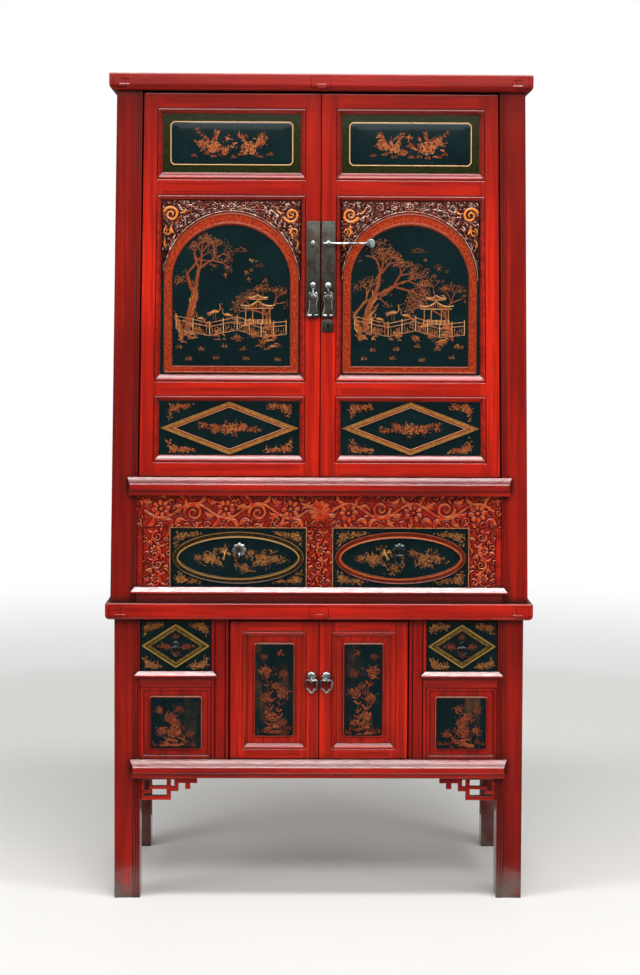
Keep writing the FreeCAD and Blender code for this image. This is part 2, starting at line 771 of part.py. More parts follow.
def make_frame():
    """Posts, cornice frames, rails and panels of both stages, let into each other."""
    lower_front = front_post(lower_half_width, 0, 0, waist_bottom, 0, lower_reed_band)
    lower_rear = box(lower_rear_half(0), lower_half_width, rear_post_front, lower_depth, 0, waist_bottom)
    upper_front_post = front_post(upper_half_width_bottom, upper_front, waist_height, cornice_bottom,
                                  upper_taper, upper_reed_band)
    upper_rear = leaning_slab(0, rear_post_width, rear_post_front, lower_depth, waist_height, cornice_bottom)

    lower_tenons = [post_tenon(lower_half_width - front_post_width / 2, front_post_depth / 2, waist_bottom),
                    post_tenon(lower_half_width - rear_post_width / 2,
                               lower_depth - rear_post_depth / 2, waist_bottom)]
    top_half = body_half(cornice_bottom)
    upper_tenons = [post_tenon(top_half - front_post_width / 2, upper_front + front_post_depth / 2,
                               cornice_bottom),
                    post_tenon(top_half - rear_post_width / 2, lower_depth - rear_post_depth / 2,
                               cornice_bottom)]
    lower_posts = both_sides([lower_front.fuse(lower_tenons[0]), lower_rear.fuse(lower_tenons[1])])
    upper_posts = both_sides([upper_front_post.fuse(upper_tenons[0]), upper_rear.fuse(upper_tenons[1])])

    waist, waist_board, waist_batten = framed_top(
        lower_half_width, 0, lower_depth, waist_bottom, waist_height,
        waist_overhang, waist_front_overhang, waist_face)
    cornice, cornice_board, cornice_batten = framed_top(
        top_half, upper_front, lower_depth, cornice_bottom, height,
        cornice_overhang, cornice_front_overhang, cornice_face)
    waist = cut_by(waist, both_sides(lower_tenons))
    cornice = cut_by(cornice, both_sides(upper_tenons))

    bottom_rail = tenoned_rail(lower_rail_half, 0, rail_depth, bottom_rail_bottom, bottom_rail_top)
    mid_rail = tenoned_rail(opening_half, upper_front, upper_front + rail_depth,
                            mid_rail_bottom, mid_rail_top)
    sill_rail = tenoned_rail(opening_half, upper_front, upper_front + rail_depth,
                             waist_height, sill_rail_top)

    back_y0 = lower_depth - back_rail_inset - back_rail_depth
    back_y1 = lower_depth - back_rail_inset
    lower_back_rail = tenoned_rail(lower_rear_half, back_y0, back_y1, bottom_rail_bottom, bottom_rail_top)
    upper_levels = [(waist_height, sill_rail_top), (mid_rail_bottom, mid_rail_top),
                    (cornice_bottom - top_side_rail_height, cornice_bottom)]
    upper_back_rails = [tenoned_rail(upper_rear_half, back_y0, back_y1, z0, z1) for z0, z1 in upper_levels]

    lower_side_rail = side_rail(lower_side_slab, front_post_depth, bottom_rail_bottom, bottom_rail_top)
    upper_side_rails = [side_rail(leaning_slab, upper_post_back, z0, z1) for z0, z1 in upper_levels]

    lower_side_panel = lower_side_slab(panel_inset, panel_thickness, front_post_depth - panel_groove,
                                       rear_post_front + panel_groove, bottom_rail_top - panel_groove,
                                       waist_bottom)
    upper_side_panels = [leaning_slab(panel_inset, panel_thickness, upper_post_back - panel_groove,
                                      rear_post_front + panel_groove,
                                      low - panel_groove, high + panel_groove)
                         for low, high in ((sill_rail_top, mid_rail_bottom),
                                           (mid_rail_top, cornice_bottom - top_side_rail_height))]
    panel_y1 = back_y1 - (back_rail_depth - panel_thickness) / 2
    panel_y0 = panel_y1 - panel_thickness
    lower_back_panel = tapered_board(lower_rear_half, panel_y0, panel_y1, bottom_rail_top - panel_groove,
                                     waist_bottom, panel_groove)
    upper_back_panels = [tapered_board(upper_rear_half, panel_y0, panel_y1, low - panel_groove,
                                       high + panel_groove, panel_groove)
                         for low, high in ((sill_rail_top, mid_rail_bottom),
                                           (mid_rail_top, cornice_bottom - top_side_rail_height))]

    lower_rails = both_sides([lower_side_rail]) + [lower_back_rail]
    upper_rails = both_sides(upper_side_rails) + upper_back_rails
    lower_panels = both_sides([lower_side_panel]) + [lower_back_panel]
    upper_panels = both_sides(upper_side_panels) + upper_back_panels
    lower_posts = cut_by(lower_posts, lower_rails + lower_panels + [bottom_rail])
    upper_posts = cut_by(upper_posts, upper_rails + upper_panels + [mid_rail, sill_rail])
    lower_rails = cut_by(lower_rails, lower_panels)
    upper_rails = cut_by(upper_rails, upper_panels)

    floor_y0 = rail_depth
    floor_y1 = back_y0
    lower_floor = box(-lower_half_width + side_rail_inset + side_rail_thickness,
                      lower_half_width - side_rail_inset - side_rail_thickness, floor_y0, floor_y1,
                      bottom_rail_top - floor_drop - floor_thickness, bottom_rail_top - floor_drop)
    lower_floor = cut_by([lower_floor], lower_posts)
    floor_top = mid_rail_top - floor_drop

    def floor_half(z):
        return body_half(z) - side_rail_inset - side_rail_thickness

    upper_floor = tapered_board(floor_half, upper_front + rail_depth, back_y0,
                                floor_top - floor_thickness, floor_top)
    upper_floor = cut_by([upper_floor], upper_posts)
    return {
        "lower_posts": lower_posts,
        "upper_posts": upper_posts,
        "waist_frame": waist,
        "waist_board": [waist_board, waist_batten],
        "cornice_frame": cornice,
        "cornice_board": [cornice_board, cornice_batten],
        "bottom_rail": [bottom_rail],
        "mid_rail": [mid_rail],
        "sill_rail": [sill_rail],
        "lower_frame_rails": lower_rails,
        "upper_frame_rails": upper_rails,
        "lower_panels": lower_panels,
        "upper_panels": upper_panels,
        "lower_floor": lower_floor,
        "upper_floor": upper_floor,
    }


def lower_side_slab(inset, thickness, y0, y1, z0, z1):
    """An upright board along the lower stage's right side."""
    return box(lower_half_width - inset - thickness, lower_half_width - inset, y0, y1, z0, z1)


def side_rail(slab_at, front_y, z0, z1):
    """A right side rail between front and rear posts, with a tenon on each end."""
    body = slab_at(side_rail_inset, side_rail_thickness, front_y, rear_post_front, z0, z1)
    tenon_inset = side_rail_inset + (side_rail_thickness - rail_tenon_thickness) / 2
    tenon = slab_at(tenon_inset, rail_tenon_thickness, front_y - rail_tenon_length / 2,
                    rear_post_front + rail_tenon_length / 2, z0 + rail_shoulder, z1 - rail_shoulder)
    return body.fuse(tenon).removeSplitter()


def make_nosings():
    """Planted mouldings in front of the mid rail, bottom rail and drawer sill, by rail."""
    mid = nosing(upper_half_width_bottom - mid_nosing_end_inset, nosing_end_slope_share, upper_front,
                 bevelled_profile(mid_rail_top, mid_rail_bottom, mid_nosing_reach, mid_nosing_bevel,
                                  mid_nosing_face, mid_nosing_lip_setback))
    bottom = nosing(lower_half_width - bottom_nosing_end_inset, nosing_end_slope_share, 0,
                    bevelled_profile(bottom_rail_top, bottom_rail_bottom, bottom_nosing_reach,
                                     bottom_nosing_bevel, bottom_nosing_face, mid_nosing_lip_setback))
    sill = nosing(opening_half(sill_rail_top) + sill_nosing_lap, 1, upper_front,
                  ledge_profile(sill_rail_top, sill_nosing_height, sill_nosing_reach))
    return {"mid_rail": mid, "bottom_rail": bottom, "sill_rail": sill}


# Upper doors

def upper_pivot_x(z):
    """The right upper door's pivot line."""
    return opening_half(z) - door_side_clearance - pivot_from_edge


def make_upper_door():
    """The right upper door: framed, moulded and panelled, with its pivot holes' cutters."""
    face = upper_front
    back = face + door_thickness

    def outer(z):
        return opening_half(z) - door_side_clearance

    def flat(z):
        return outer(z) - outer_stile

    inner_edge = meeting_edge + meeting_stile
    stile = slab([(flat(door_bottom), door_bottom), (outer(door_bottom), door_bottom),
                  (outer(door_top), door_top), (flat(door_top), door_top)], face, back)
    outer_edge = [edge for edge in stile.Edges
                  if abs(edge.CenterOfMass.y - face) < door_edge_radius
                  and abs(edge.CenterOfMass.x - outer(edge.CenterOfMass.z)) < door_edge_radius
                  and edge.BoundBox.ZLength > outer_stile]
    stile = stile.makeFillet(door_edge_radius, outer_edge)
    meeting = box(meeting_edge, inner_edge, face, back, door_bottom, door_top)

    rail_heights = door_top_rail + door_upper_mid_rail + door_lower_mid_rail + door_bottom_rail
    free = door_top - door_bottom - rail_heights - 3 * (moulding_width + sill_moulding_width)
    top_panel_height = top_panel_share * free
    diamond_panel_height = diamond_panel_share * free
    upper_rail_bottom = door_top - door_top_rail
    top_opening = (upper_rail_bottom - moulding_width - top_panel_height - sill_moulding_width,
                   upper_rail_bottom)
    diamond_sill = door_bottom + door_bottom_rail
    diamond_opening = (diamond_sill, diamond_sill + sill_moulding_width + diamond_panel_height
                       + moulding_width)
    arch_opening = (diamond_opening[1] + door_lower_mid_rail, top_opening[0] - door_upper_mid_rail)
    rails = []
    for z0, z1 in ((door_bottom, diamond_opening[0]), (diamond_opening[1], arch_opening[0]),
                   (arch_opening[1], top_opening[0]), (top_opening[1], door_top)):
        body = slab([(inner_edge, z0), (flat(z0), z0), (flat(z1), z1), (inner_edge, z1)], face, back)
        mid = (face + back - door_tenon_thickness) / 2
        low, high = z0 + door_tenon_shoulder, z1 - door_tenon_shoulder
        tenon = slab([(inner_edge - door_tenon_length, low), (flat(low) + door_tenon_length, low),
                      (flat(high) + door_tenon_length, high), (inner_edge - door_tenon_length, high)],
                     mid, mid + door_tenon_thickness)
        rails.append(body.fuse(tenon).removeSplitter())
    pins, holes = pivot_pins(upper_pivot_x, face + pivot_from_face, door_bottom, door_top,
                             door_bottom_gap, door_top_gap)
    stile = stile.fuse(pins).removeSplitter()
    stiles = cut_by([stile, meeting], rails)

    mouldings = []
    panels = []
    openings = {}
    for name, (z0, z1) in (("top", top_opening), ("arch", arch_opening), ("diamond", diamond_opening)):
        corners = [(inner_edge, z0), (flat(z0), z0), (flat(z1), z1), (inner_edge, z1)]
        widths = [sill_moulding_width, moulding_width, moulding_width, moulding_width]
        mouldings.extend(mitred_moulding(corners, widths, face))
        panels.append(slab(corners, face + panel_depth, face + panel_depth + panel_board_thickness))
        openings[name] = offset_corners(corners, widths)
    panel_face = face + panel_depth
    fields = top_field(openings["top"], panel_face) + diamond_fields(openings["diamond"], panel_face)
    arch = arch_pieces(openings["arch"], panel_face)
    return {"frame": stiles + rails, "mouldings": mouldings, "panels": panels + fields,
            "arch_carving": arch}, holes


def top_field(opening, face):
    """A raised field with notched corners inside a plain border."""
    inner = offset_corners(opening, [top_field_margin] * len(opening))
    x0 = (inner[0][0] + inner[3][0]) / 2
    x1 = (inner[1][0] + inner[2][0]) / 2
    z0, z1 = inner[0][1], inner[2][1]
    n = top_field_notch
    outline = [(x0 + n, z0), (x1 - n, z0), (x1 - n, z0 + n), (x1, z0 + n), (x1, z1 - n), (x1 - n, z1 - n),
               (x1 - n, z1), (x0 + n, z1), (x0 + n, z1 - n), (x0, z1 - n), (x0, z0 + n), (x0 + n, z0 + n)]
    return [slab(outline, face - top_field_rise, face)]


def diamond_fields(opening, face):
    """A lozenge band with a raised lozenge field inside it."""
    centre = (sum(x for x, _ in opening) / 4, (opening[0][1] + opening[2][1]) / 2)
    half_length = min(opening[1][0], opening[2][0]) - centre[0] - diamond_end_margin
    half_height = opening[2][1] - centre[1] - diamond_end_margin
    return lozenge(centre, half_length, half_height, diamond_band_width, face,
                   diamond_band_rise, diamond_field_rise)


def lozenge(centre, half_length, half_height, band, face, band_rise, field_rise):
    """A raised lozenge band of even width round a lower lozenge field."""
    slant = math.hypot(half_length, half_height)
    inner_length = half_length - band * slant / half_height
    inner_height = half_height - band * slant / half_length
    outer = slab(rhombus(centre, half_length, half_height), face - band_rise, face)
    inner = slab(rhombus(centre, inner_length, inner_height), face - band_rise, face)
    field = slab(rhombus(centre, inner_length, inner_height), face - field_rise, face)
    return [outer.cut(inner), field]


def arch_outline(x0, x1, z0, springing, rise):
    """A round headed outline: straight sides and half an ellipse of a given rise."""
    centre = (x0 + x1) / 2
    half = (x1 - x0) / 2
    points = [(x0, z0), (x1, z0)]
    for step in range(4 * arc_steps + 1):
        angle = math.pi * step / (4 * arc_steps)
        points.append((centre + half * math.cos(angle), springing + rise * math.sin(angle)))
    return points


def arch_pieces(opening, face):
    """A round headed band on the panel, and two carved corner boards above it."""
    x0 = max(opening[0][0], opening[3][0]) + arch_plain_side
    x1 = min(opening[1][0], opening[2][0]) - arch_plain_side
    z0, z1 = opening[0][1], opening[2][1]
    arch_height = arch_rise_share * (z1 - z0)
    springing = z1 - arch_top_margin - arch_height
    inner_bottom = z0 + arch_bottom_margin
    inner_x0, inner_x1 = x0 + arch_band_width, x1 - arch_band_width
    band = slab(arch_outline(x0, x1, z0 + arch_plain_side, springing, arch_height),
                face - arch_band_rise, face)
    hole = slab(arch_outline(inner_x0, inner_x1, inner_bottom, springing,
                             arch_height - arch_crown_band),
                face - arch_band_rise - overrun, face + overrun)
    band = band.cut(hole)
    spandrel = slab([(x0, springing), (x1, springing), (x1, z1), (x0, z1)], face - arch_carving_rise, face)
    relief = slab(arch_outline(x0 - carving_gap, x1 + carving_gap, springing - overrun, springing,
                               arch_height + carving_gap), face - arch_carving_rise - overrun, face + overrun)
    return [band] + spandrel.cut(relief).Solids


def face_plate_pieces(right):
    """A tall iron plate with eared ends, its staple, and the boss that carries the pendant."""
    face = upper_front
    x0 = meeting_edge + face_plate_edge_gap
    x1 = x0 + face_plate_width
    ear = plate_end_ear
    outline = [(x0, face_plate_bottom), (x1 - ear, face_plate_bottom), (x1, face_plate_bottom + ear),
               (x1, face_plate_top - ear), (x1 - ear, face_plate_top), (x0, face_plate_top)]
    plate = slab(outline, face - face_plate_thickness, face)
    front = face - face_plate_thickness
    staple = eye_plate(fitting_offset, front, staple_y(), staple_height, staple_ring_radius,
                       staple_wire_radius, staple_thickness, staple_tang_height)
    boss = boss_with_eye(fitting_offset, front, pendant_eye_height, pendant_boss_radius, pendant_boss_height,
                         pendant_eye_height)
    pieces = [plate, staple, boss]
    if right:
        pieces.append(escutcheon())
    return pieces


def staple_y():
    """How far forward the middle of a staple's ring stands."""
    return (upper_front - face_plate_thickness - staple_stand_off
            - staple_ring_radius + staple_wire_radius / 2)


def escutcheon():
    """A small keyhole plate with a rounded head."""
    face = upper_front
    top = face_plate_bottom - escutcheon_gap
    bottom = top - escutcheon_height
    half = escutcheon_width / 2
    head = arc_points((fitting_offset, top - half), half, 0, 180, 2 * arc_steps)
    plate = slab([(fitting_offset - half, bottom), (fitting_offset + half, bottom)] + head,
                 face - face_plate_thickness, face)
    hole_z = top - half
    hole = cylinder(Vector(fitting_offset, face - face_plate_thickness - overrun, hole_z), Vector(0, 1, 0),
                    keyhole_radius, face_plate_thickness + 2 * overrun)
    slot = box(fitting_offset - keyhole_slot_width / 2, fitting_offset + keyhole_slot_width / 2,
               face - face_plate_thickness - overrun, face + overrun, hole_z - keyhole_slot_length, hole_z)
    return plate.cut([hole, slot])


def make_lock_pin():
    """A sliding pin drawn back into the right staple, with a leaf shaped head."""
    tip = meeting_edge + pin_tip_clearance
    y = staple_y()
    z = staple_height - (staple_ring_radius - staple_wire_radius - pin_radius) / 2
    bar = cylinder(Vector(tip, y, z), Vector(1, 0, 0), pin_radius, pin_length + pin_leaf_neck)
    x = tip + pin_length
    half = pin_leaf_height / 2
    front = y - pin_leaf_thickness / 2
    crest = pin_leaf_length * pin_leaf_crest_share
    waist = pin_leaf_length * pin_leaf_waist_share
    shoulder = half * pin_leaf_shoulder_share

    def at(across, up):
        return Vector(x + across, front, z + up)

    leaf = Part.Face(Part.Wire([
        Part.Arc(at(0, 0), at(crest, half), at(waist, shoulder)).toShape(),
        Part.makeLine(at(waist, shoulder), at(pin_leaf_length, 0)),
        Part.makeLine(at(pin_leaf_length, 0), at(waist, -shoulder)),
        Part.Arc(at(waist, -shoulder), at(crest, -half), at(0, 0)).toShape(),
    ])).extrude(Vector(0, pin_leaf_thickness, 0))
    return [bar.fuse(leaf)]


# Lower doors

def lower_pivot_x(z):
    """The right lower door's pivot line, plumb."""
    return muntin_inner - door_side_clearance - pivot_from_edge


def make_lower_door():
    """The right lower door: frame, mouldings, panel and raised field."""
    back = lower_door_thickness
    outer = muntin_inner - door_side_clearance
    z0, z1 = lower_door_bottom, lower_door_top
    stile = box(outer - lower_stile, outer, 0, back, z0, z1)
    outer_edge = [edge for edge in stile.Edges
                  if abs(edge.CenterOfMass.y) < door_edge_radius
                  and edge.CenterOfMass.x > outer - door_edge_radius
                  and edge.BoundBox.ZLength > lower_stile]
    stile = stile.makeFillet(door_edge_radius, outer_edge)
    meeting = box(meeting_edge, meeting_edge + lower_stile, 0, back, z0, z1)
    inner_x, outer_x = meeting_edge + lower_stile, outer - lower_stile
    low, high = z0 + lower_door_bottom_rail, z1 - lower_door_top_rail
    rails = []
    for bottom, top in ((z0, low), (high, z1)):
        body = box(inner_x, outer_x, 0, back, bottom, top)
        mid = (back - door_tenon_thickness) / 2
        tenon = box(inner_x - door_tenon_length, outer_x + door_tenon_length, mid,
                    mid + door_tenon_thickness, bottom + door_tenon_shoulder, top - door_tenon_shoulder)
        rails.append(body.fuse(tenon).removeSplitter())
    pins, holes = pivot_pins(lower_pivot_x, pivot_from_face, z0, z1, door_bottom_gap, lower_door_top_gap)
    stiles = cut_by([stile.fuse(pins).removeSplitter(), meeting], rails)
    corners = [(inner_x, low), (outer_x, low), (outer_x, high), (inner_x, high)]
    mouldings = mitred_moulding(corners, [moulding_width] * 4, 0)
    panel = slab(corners, panel_depth, panel_depth + panel_board_thickness)
    opening = offset_corners(corners, [moulding_width + lower_field_margin] * 4)
    field = rounded_plate(opening[0][0], opening[1][0], opening[0][1], opening[2][1],
                          panel_depth - lower_field_rise, panel_depth, field_corner_radius)
    return {"frame": stiles + rails + mouldings, "panel": [panel, field]}, holes


# Side bays of the lower stage

def make_side_bays():
    """Muntins, drawer rails with their nosings, and the fixed panels below the small drawers."""
    muntin = box(muntin_inner, muntin_outer, 0, muntin_depth, bottom_rail_top, waist_bottom)
    grooves = [box(x - reed_depth / 2, x + reed_depth / 2, -overrun, reed_depth, bottom_rail_top, waist_bottom)
               for x in (muntin_inner + muntin_width * muntin_groove_share,
                         muntin_outer - muntin_width * muntin_groove_share)]
    muntin = muntin.cut(grooves)
    rail = box(muntin_outer, post_inner, 0, rail_depth, bay_rail_bottom, small_drawer_bottom)
    middle = (muntin_outer + post_inner) / 2
    half = (post_inner - muntin_outer) / 2 + small_nosing_lap
    sill = nosing(half, 1, 0, ledge_profile(small_drawer_bottom, small_nosing_height, small_nosing_reach))
    sill.translate(Vector(middle, 0, 0))
    panel = box(muntin_outer, post_inner, bay_panel_set_back, bay_panel_set_back + bay_panel_thickness,
                bottom_rail_top, bay_rail_bottom)
    step = panel_moulding_ring(muntin_outer, post_inner, bottom_rail_top, bay_rail_bottom)
    margin = bay_moulding_width + bay_field_margin
    field = rounded_plate(muntin_outer + margin, post_inner - margin, bottom_rail_top + margin,
                          bay_rail_bottom - margin, bay_panel_set_back - bay_field_rise,
                          bay_panel_set_back, field_corner_radius)
    return {
        "muntins": both_sides([muntin]),
        "small_drawer_rails": both_sides([rail, sill]),
        "side_bay_panels": both_sides([panel, field] + step),
    }


def panel_moulding_ring(x0, x1, z0, z1):
    """Four plain stepped lengths, mitred round a side bay's panel."""
    corners = [(x0, z0), (x1, z0), (x1, z1), (x0, z1)]
    inner = offset_corners(corners, [bay_moulding_width] * 4)
    lengths = []
    for k in range(4):
        a, b = corners[k], corners[(k + 1) % 4]
        c, d = inner[(k + 1) % 4], inner[k]
        lengths.append(slab([a, b, c, d], bay_panel_set_back / 2, bay_panel_set_back))
    return lengths


# Drawers and what carries them

def drawer_box(x0, x1, y0, length, z0, z1):
    """Sides, back and bottom board behind a drawer front."""
    t = drawer_side_thickness
    y1 = y0 + length
    sides = [box(x0, x0 + t, y0, y1, z0, z1), box(x1 - t, x1, y0, y1, z0, z1)]
    back = box(x0 + t, x1 - t, y1 - drawer_back_thickness, y1, z0, z1)
    low = z0 + drawer_bottom_raise
    bottom = box(x0 + t, x1 - t, y0, y1 - drawer_back_thickness, low, low + drawer_bottom_thickness)
    return sides + [back, bottom]


def make_large_drawer():
    """The right large drawer: front with an oval moulding, and its box."""
    x0, x1 = large_drawer_inner + drawer_clearance, large_drawer_outer - drawer_clearance
    z0, z1 = sill_rail_top + drawer_seat_gap, large_drawer_top - drawer_clearance
    face = upper_front + surround_set_back + large_front_set_back
    front = box(x0, x1, face, face + drawer_front_thickness, z0, z1)
    centre = ((x0 + x1) / 2, (z0 + z1) / 2)
    oval_length = x1 - x0 - 2 * oval_end_margin
    oval_height = z1 - z0 - 2 * oval_edge_margin
    outer = oval_plate(centre, oval_length, oval_height, face - oval_rise, face)
    inner = oval_plate(centre, oval_length - 2 * oval_band, oval_height - 2 * oval_band,
                       face - oval_rise, face)
    body = drawer_box(x0 + drawer_box_inset, x1 - drawer_box_inset, face + drawer_front_thickness,
                      large_drawer_length, z0, z1 - drawer_box_drop)
    return {"front": [front, outer.cut(inner)], "box": body}, face


def make_small_drawer():
    """The right small drawer: front with a lozenge moulding, and its box."""
    x0, x1 = muntin_outer + drawer_clearance, post_inner - drawer_clearance
    z0, z1 = small_drawer_bottom + drawer_seat_gap, waist_bottom - lower_door_top_gap
    face = small_front_set_back
    front = box(x0, x1, face, face + drawer_front_thickness, z0, z1)
    centre = ((x0 + x1) / 2, (z0 + z1) / 2)
    mouldings = lozenge(centre, (x1 - x0) / 2 - small_diamond_end_margin,
                        (z1 - z0) / 2 - small_diamond_edge_margin, small_diamond_band,
                        face, small_diamond_rise, small_diamond_rise / 2)
    body = drawer_box(x0 + drawer_box_inset, x1 - drawer_box_inset, face + drawer_front_thickness,
                      small_drawer_length, z0, z1 - drawer_box_drop)
    return {"front": [front] + mouldings, "box": body}, face - small_diamond_rise / 2


def make_surround():
    """Boards round the large drawers: a top band, a middle upright and two side uprights."""
    y0 = upper_front + surround_set_back
    y1 = y0 + surround_thickness
    top = tapered_board(opening_half, y0, y1, large_drawer_top, mid_rail_bottom)
    side = slab([(large_drawer_outer, sill_rail_top), (opening_half(sill_rail_top), sill_rail_top),
                 (opening_half(large_drawer_top), large_drawer_top), (large_drawer_outer, large_drawer_top)],
                y0, y1)
    middle = box(-large_drawer_inner, large_drawer_inner, y0, y1, sill_rail_top, large_drawer_top)
    return {"carved_surround": [top, middle] + both_sides([side])}


def make_drawer_runners():
    """Runners under every drawer, and the boards that guide them."""
    back_rail_front = lower_depth - back_rail_inset - back_rail_depth
    y0 = upper_front + rail_depth
    low, high = sill_rail_top - runner_height, sill_rail_top
    side_x = large_drawer_outer + runner_width / 2
    side_runner = box(side_x - runner_width, side_x, y0, back_rail_front, low, high)
    side_guide = box(large_drawer_outer, large_drawer_outer + guide_thickness, y0, back_rail_front,
                     high, high + runner_height)
    middle_runner = box(-large_drawer_inner - runner_width / 2, large_drawer_inner + runner_width / 2,
                        y0, back_rail_front, low, high)
    middle_guide = box(-large_drawer_inner, large_drawer_inner, y0, back_rail_front,
                       high, high + runner_height)
    small_low, small_high = small_drawer_bottom - runner_height, small_drawer_bottom
    inner_runner = box(muntin_outer, muntin_outer + runner_width, muntin_depth, back_rail_front,
                       small_low, small_high)
    outer_runner = box(post_inner - runner_width / 2, lower_half_width - panel_inset - panel_thickness,
                       front_post_depth, rear_post_front, small_low, small_high)
    guide = box(muntin_outer - guide_thickness, muntin_outer, muntin_depth, back_rail_front,
                small_low, waist_bottom)
    outer_guide = box(post_inner, post_inner + guide_thickness, front_post_depth, rear_post_front,
                      small_high, small_high + runner_height)
    return {
        "large_drawer_runners": both_sides([side_runner, side_guide]) + [middle_runner, middle_guide],
        "small_drawer_runners": both_sides([inner_runner, outer_runner, outer_guide, guide]),
    }


def make_shelf(neighbours):
    """The shelf of the upper stage and the two battens that carry it."""
    rear = lower_depth - back_rail_inset - back_rail_depth + (back_rail_depth - panel_thickness) / 2

    def shelf_half(z):
        return body_half(z) - panel_inset - panel_thickness

    front = upper_front + shelf_set_back
    top = shelf_height + shelf_thickness
    board = tapered_board(shelf_half, front, rear, shelf_height, top)
    batten = leaning_slab(panel_inset + panel_thickness, shelf_batten_width, upper_post_back,
                          rear_post_front, shelf_height - shelf_batten_height, shelf_height)
    return {"shelf": cut_by([board], neighbours) + both_sides([batten])}


def make_bracket():
    """The right fretwork bracket: a keyed square beside the post, stepping up to a thin strip."""
    top = bottom_rail_bottom
    y0, y1 = bracket_set_back, bracket_set_back + bracket_thickness

    def bar(start, end, low, high):
        return box(post_inner - end, post_inner - start, y0, y1, top - high, top - low)

    square_end = fret_square
    middle_drop = bracket_height / 2
    inner = fret_inner_bar
    curl_start = fret_square * fret_curl_share
    bars = [
        bar(0, square_end, 0, fret_bar),
        bar(0, square_end, bracket_height - fret_bar, bracket_height),
        bar(0, fret_bar, 0, bracket_height),
        bar(square_end - fret_bar, square_end, 0, bracket_height),
        bar(curl_start, square_end, middle_drop - inner / 2, middle_drop + inner / 2),
        bar(curl_start, curl_start + inner, middle_drop, bracket_height - fret_bar - inner),
        bar(fret_bar, curl_start + inner, bracket_height - fret_bar - 2 * inner,
            bracket_height - fret_bar - inner),
        bar(square_end, square_end + fret_step_length, 0, fret_bar),
        bar(square_end, square_end + fret_step_length, fret_step_drop - fret_bar, fret_step_drop),
        bar(square_end + fret_step_length - fret_bar, square_end + fret_step_length, 0, fret_step_drop),
        bar(square_end + fret_step_length, bracket_length, 0, fret_strip_drop),
        bar(fret_hook_position, fret_hook_position + fret_hook_length, fret_strip_drop, fret_hook_drop),
    ]
    return bars[0].fuse(bars[1:]).removeSplitter()


def make_all():
    """Every node's solids, by name, before the last move to the origin."""
    nodes = make_frame()
    for name, moulding in make_nosings().items():
        nodes[name].append(moulding)
    nodes.update(make_side_bays())
    nodes.update(make_surround())
    nodes.update(make_drawer_runners())
    nodes.update(make_shelf(nodes["upper_panels"] + nodes["upper_posts"]))
    nodes["corner_brackets"] = both_sides([make_bracket()])

    door, upper_holes = make_upper_door()
    lower_door, lower_holes = make_lower_door()
    upper_cutters = both_sides(upper_holes)
    lower_cutters = both_sides(lower_holes)
    for name in ("cornice_frame", "mid_rail"):
        nodes[name] = cut_by(nodes[name], upper_cutters)
    for name in ("waist_frame", "bottom_rail"):
        nodes[name] = cut_by(nodes[name], lower_cutters)

    large, large_face = make_large_drawer()
    small, small_face = make_small_drawer()
    plate_face = upper_front - face_plate_thickness
    pendant_eye = eye_centre_y(plate_face, pendant_boss_height)
    upper_pull = pendant(fitting_offset, pendant_eye, pendant_eye_height)
    lower_eye = hanging_eye(lower_boss_height_place, lower_boss_radius)
    lower_boss = boss_with_eye(fitting_offset, 0, lower_boss_height_place, lower_boss_radius, boss_height,
                               lower_eye)
    lower_ring = pull_ring(fitting_offset, eye_centre_y(0, boss_height), lower_eye,
                           lower_ring_width, lower_ring_height)
    large_eye = hanging_eye(large_boss_height_place, large_boss_radius)
    large_boss = boss_with_eye(large_boss_side, large_face, large_boss_height_place, large_boss_radius,
                               boss_height, large_eye)
    large_ring = pull_ring(large_boss_side, eye_centre_y(large_face, boss_height), large_eye,
                           large_ring_width, large_ring_height)
    small_x = (muntin_outer + post_inner) / 2
    small_eye = hanging_eye(small_boss_height_place, small_boss_radius)
    small_boss = boss_with_eye(small_x, small_face, small_boss_height_place, small_boss_radius, boss_height,
                               small_eye)
    small_ring = pull_ring(small_x, eye_centre_y(small_face, boss_height), small_eye,
                           small_ring_width, small_ring_height)

    for side, place in (("left", mirrored), ("right", lambda shape: shape)):
        for piece, solids in door.items():
            nodes["upper_%s_door_%s" % (side, piece)] = [place(solid) for solid in solids]
        for piece, solids in lower_door.items():
            nodes["lower_%s_door_%s" % (side, piece)] = [place(solid) for solid in solids]
        for piece in ("front", "box"):
            nodes["large_%s_drawer_%s" % (side, piece)] = [place(solid) for solid in large[piece]]
            nodes["small_%s_drawer_%s" % (side, piece)] = [place(solid) for solid in small[piece]]
        plates = face_plate_pieces(side == "right")
        nodes["upper_%s_face_plate" % side] = [place(solid) for solid in plates]
        nodes["upper_%s_pendant" % side] = [place(solid) for solid in upper_pull]
        nodes["lower_%s_boss" % side] = [place(lower_boss)]
        nodes["lower_%s_ring" % side] = [place(solid) for solid in lower_ring]
        nodes["large_%s_boss" % side] = [place(large_boss)]
        nodes["small_%s_boss" % side] = [place(small_boss)]
        nodes["small_%s_ring" % side] = [place(solid) for solid in small_ring]
    nodes["large_right_ring"] = large_ring
    nodes["lock_pin"] = make_lock_pin()
    return nodes


def centred(nodes):
    """Every node as one compound, moved so that the whole box is centred on the origin."""
    shapes = {name: Part.makeCompound(solids) for name, solids in nodes.items()}
    whole = Part.makeCompound(list(shapes.values())).BoundBox
    move = Vector(-(whole.XMin + whole.XMax) / 2, -(whole.YMin + whole.YMax) / 2, -whole.ZMin)
    for shape in shapes.values():
        shape.translate(move)
    return shapes, move


os.makedirs("parts", exist_ok=True)
shapes, origin_move = centred(make_all())
for name, shape in shapes.items():
    shape.exportStep("parts/%s.step" % name)
print("nodes", len(shapes), "front posts moved by Y", round(origin_move.y, 3))
